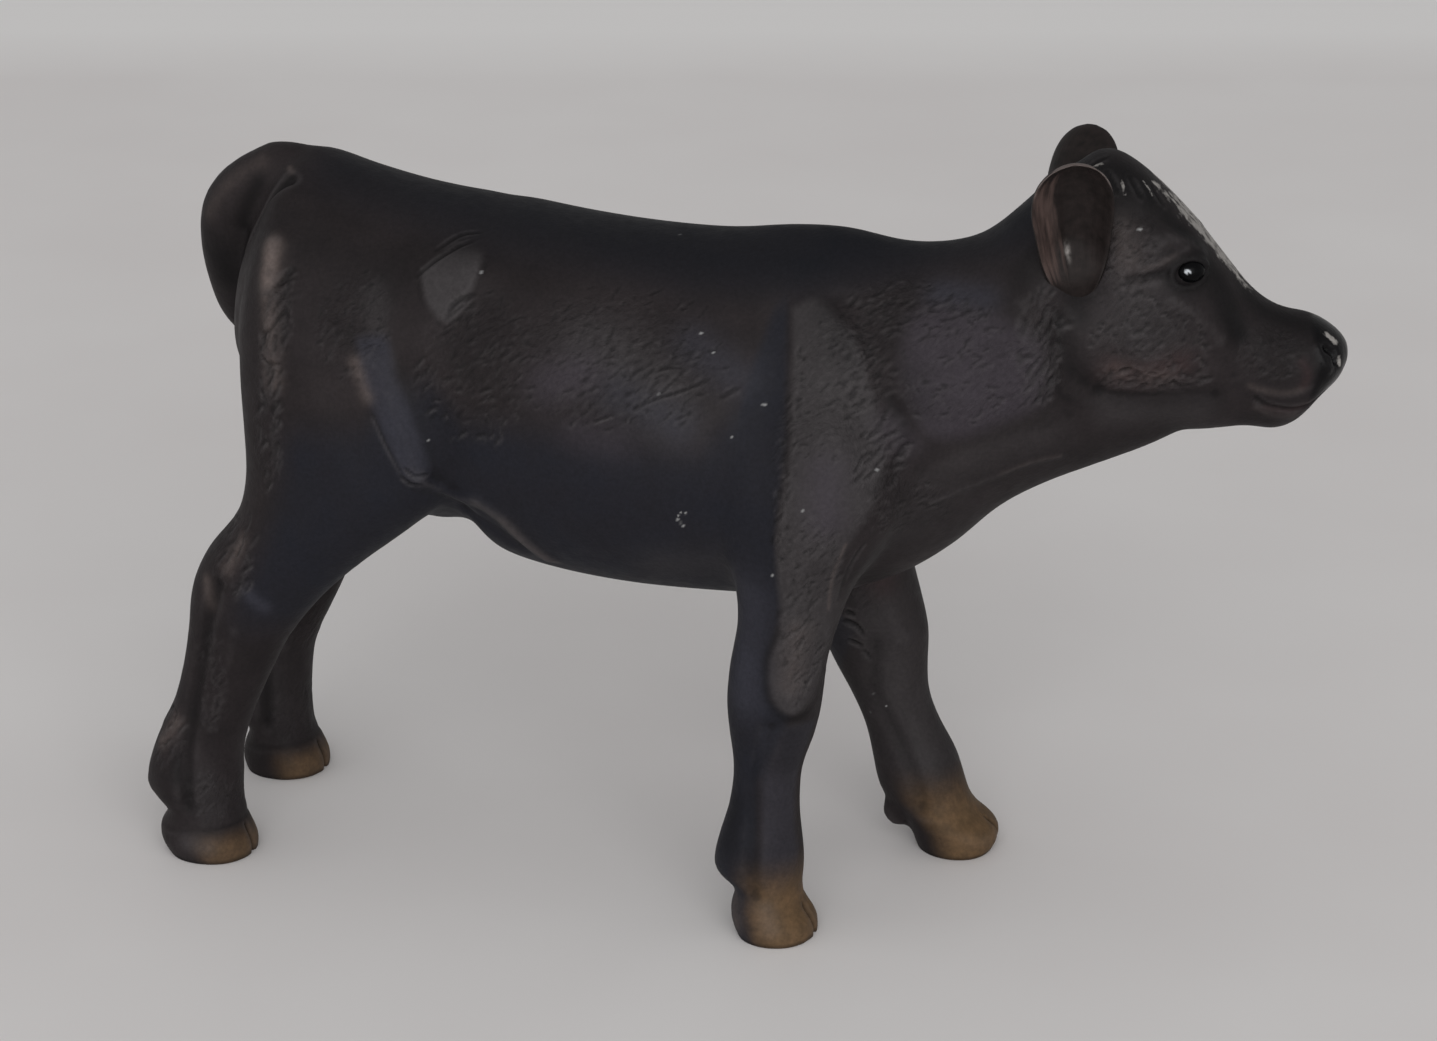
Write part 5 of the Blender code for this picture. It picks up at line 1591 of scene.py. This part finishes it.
def floor_stage():
    """A wide pale floor under the hooves."""
    around, reach = 64, 6.0
    angle = np.linspace(0, 2 * math.pi, around, endpoint=False)
    edge = np.stack([np.cos(angle) * reach, np.sin(angle) * reach, np.full(around, -0.00005)], axis=1)
    floor = mesh_object("floor", edge, [tuple(range(around))])
    floor.data.materials.append(pale_floor())


def photo_camera():
    """The photograph's viewpoint."""
    azimuth, elevation = math.radians(CAMERA_AZIMUTH), math.radians(CAMERA_ELEVATION)
    level = math.cos(elevation)
    back = Vector((math.sin(azimuth) * level, -math.cos(azimuth) * level, math.sin(elevation)))
    lens = bpy.data.cameras.new("camera")
    lens.lens = CAMERA_LENS
    lens.sensor_width = 36.0
    lens.clip_start = 0.01
    camera = placed("camera", lens)
    camera.location = Vector(CAMERA_TARGET) * MM + back * CAMERA_DISTANCE * MM
    camera.rotation_euler = (-back).to_track_quat("-Z", "Y").to_euler()
    bpy.context.scene.camera = camera


def window_light():
    """A broad soft light on the figure's right side, from a little ahead."""
    light = bpy.data.lights.new("window", "AREA")
    light.shape = "SQUARE"
    light.size = WINDOW_SIZE
    light.energy = WINDOW_POWER
    lamp = placed("window", light)
    lamp.location = WINDOW_PLACE
    lamp.rotation_euler = (Vector(CAMERA_TARGET) * MM - lamp.location).to_track_quat("-Z", "Y").to_euler()


def pale_room():
    """An even pale room, darker overhead and behind."""
    world = bpy.data.worlds.new("room")
    world.use_nodes = True
    tree = world.node_tree
    background = tree.nodes["Background"]
    background.inputs["Color"].default_value = colour("#f2f2f2")
    way = add(tree, "TexCoord", {}, {}).outputs["Generated"]
    parts = add(tree, "SeparateXYZ", {}, {0: way})
    overhead = spread(tree, parts.outputs[2], 0.0, 1.0, 1.0, 0.50)
    behind = spread(tree, parts.outputs[1], -1.0, 1.0, 1.35, 0.40)
    strength = add(tree, "Math", {"operation": "MULTIPLY"}, {0: overhead, 1: behind}).outputs[0]
    tree.links.new(strength, background.inputs["Strength"])
    bpy.context.scene.world = world
    bpy.context.scene.view_settings.view_transform = "Standard"


def moulded_pieces(skin, sculpt):
    """The worked skin, parted into the moulded pieces, each on its node's place."""
    set_attribute(skin.data, "number", np.arange(len(sculpt.places)) + 1)
    tree = KDTree(len(sculpt.places))
    for index, point in enumerate(sculpt.places):
        tree.insert(point, index)
    tree.balance()
    coat = painted_vinyl()
    for node, piece in parted(skin).items():
        finish_skin_piece(piece, node, sculpt, tree, coat)


def main():
    skin = blended_skin()
    sculpt = Sculpt(skin)
    work_forms(sculpt, FORMS)
    work_forms(sculpt, FACE)
    for work in (work_eyelids, work_patches, work_legs, work_grain, work_hair):
        work(sculpt)
    for paint in (paint_blue, paint_hooves, paint_nose, paint_strokes, paint_shade_and_highlights, paint_chips):
        paint(sculpt)
    moulded_pieces(skin, sculpt)
    ear_paint = painted_ear_vinyl()
    for name in EARS:
        ear_piece(name, ear_paint)
    eye_paint = varnished_eye()
    for name in ("eye_right", "eye_left"):
        eye_piece(name, side_of(name), eye_paint)
    floor_stage()
    photo_camera()
    window_light()
    pale_room()


main()
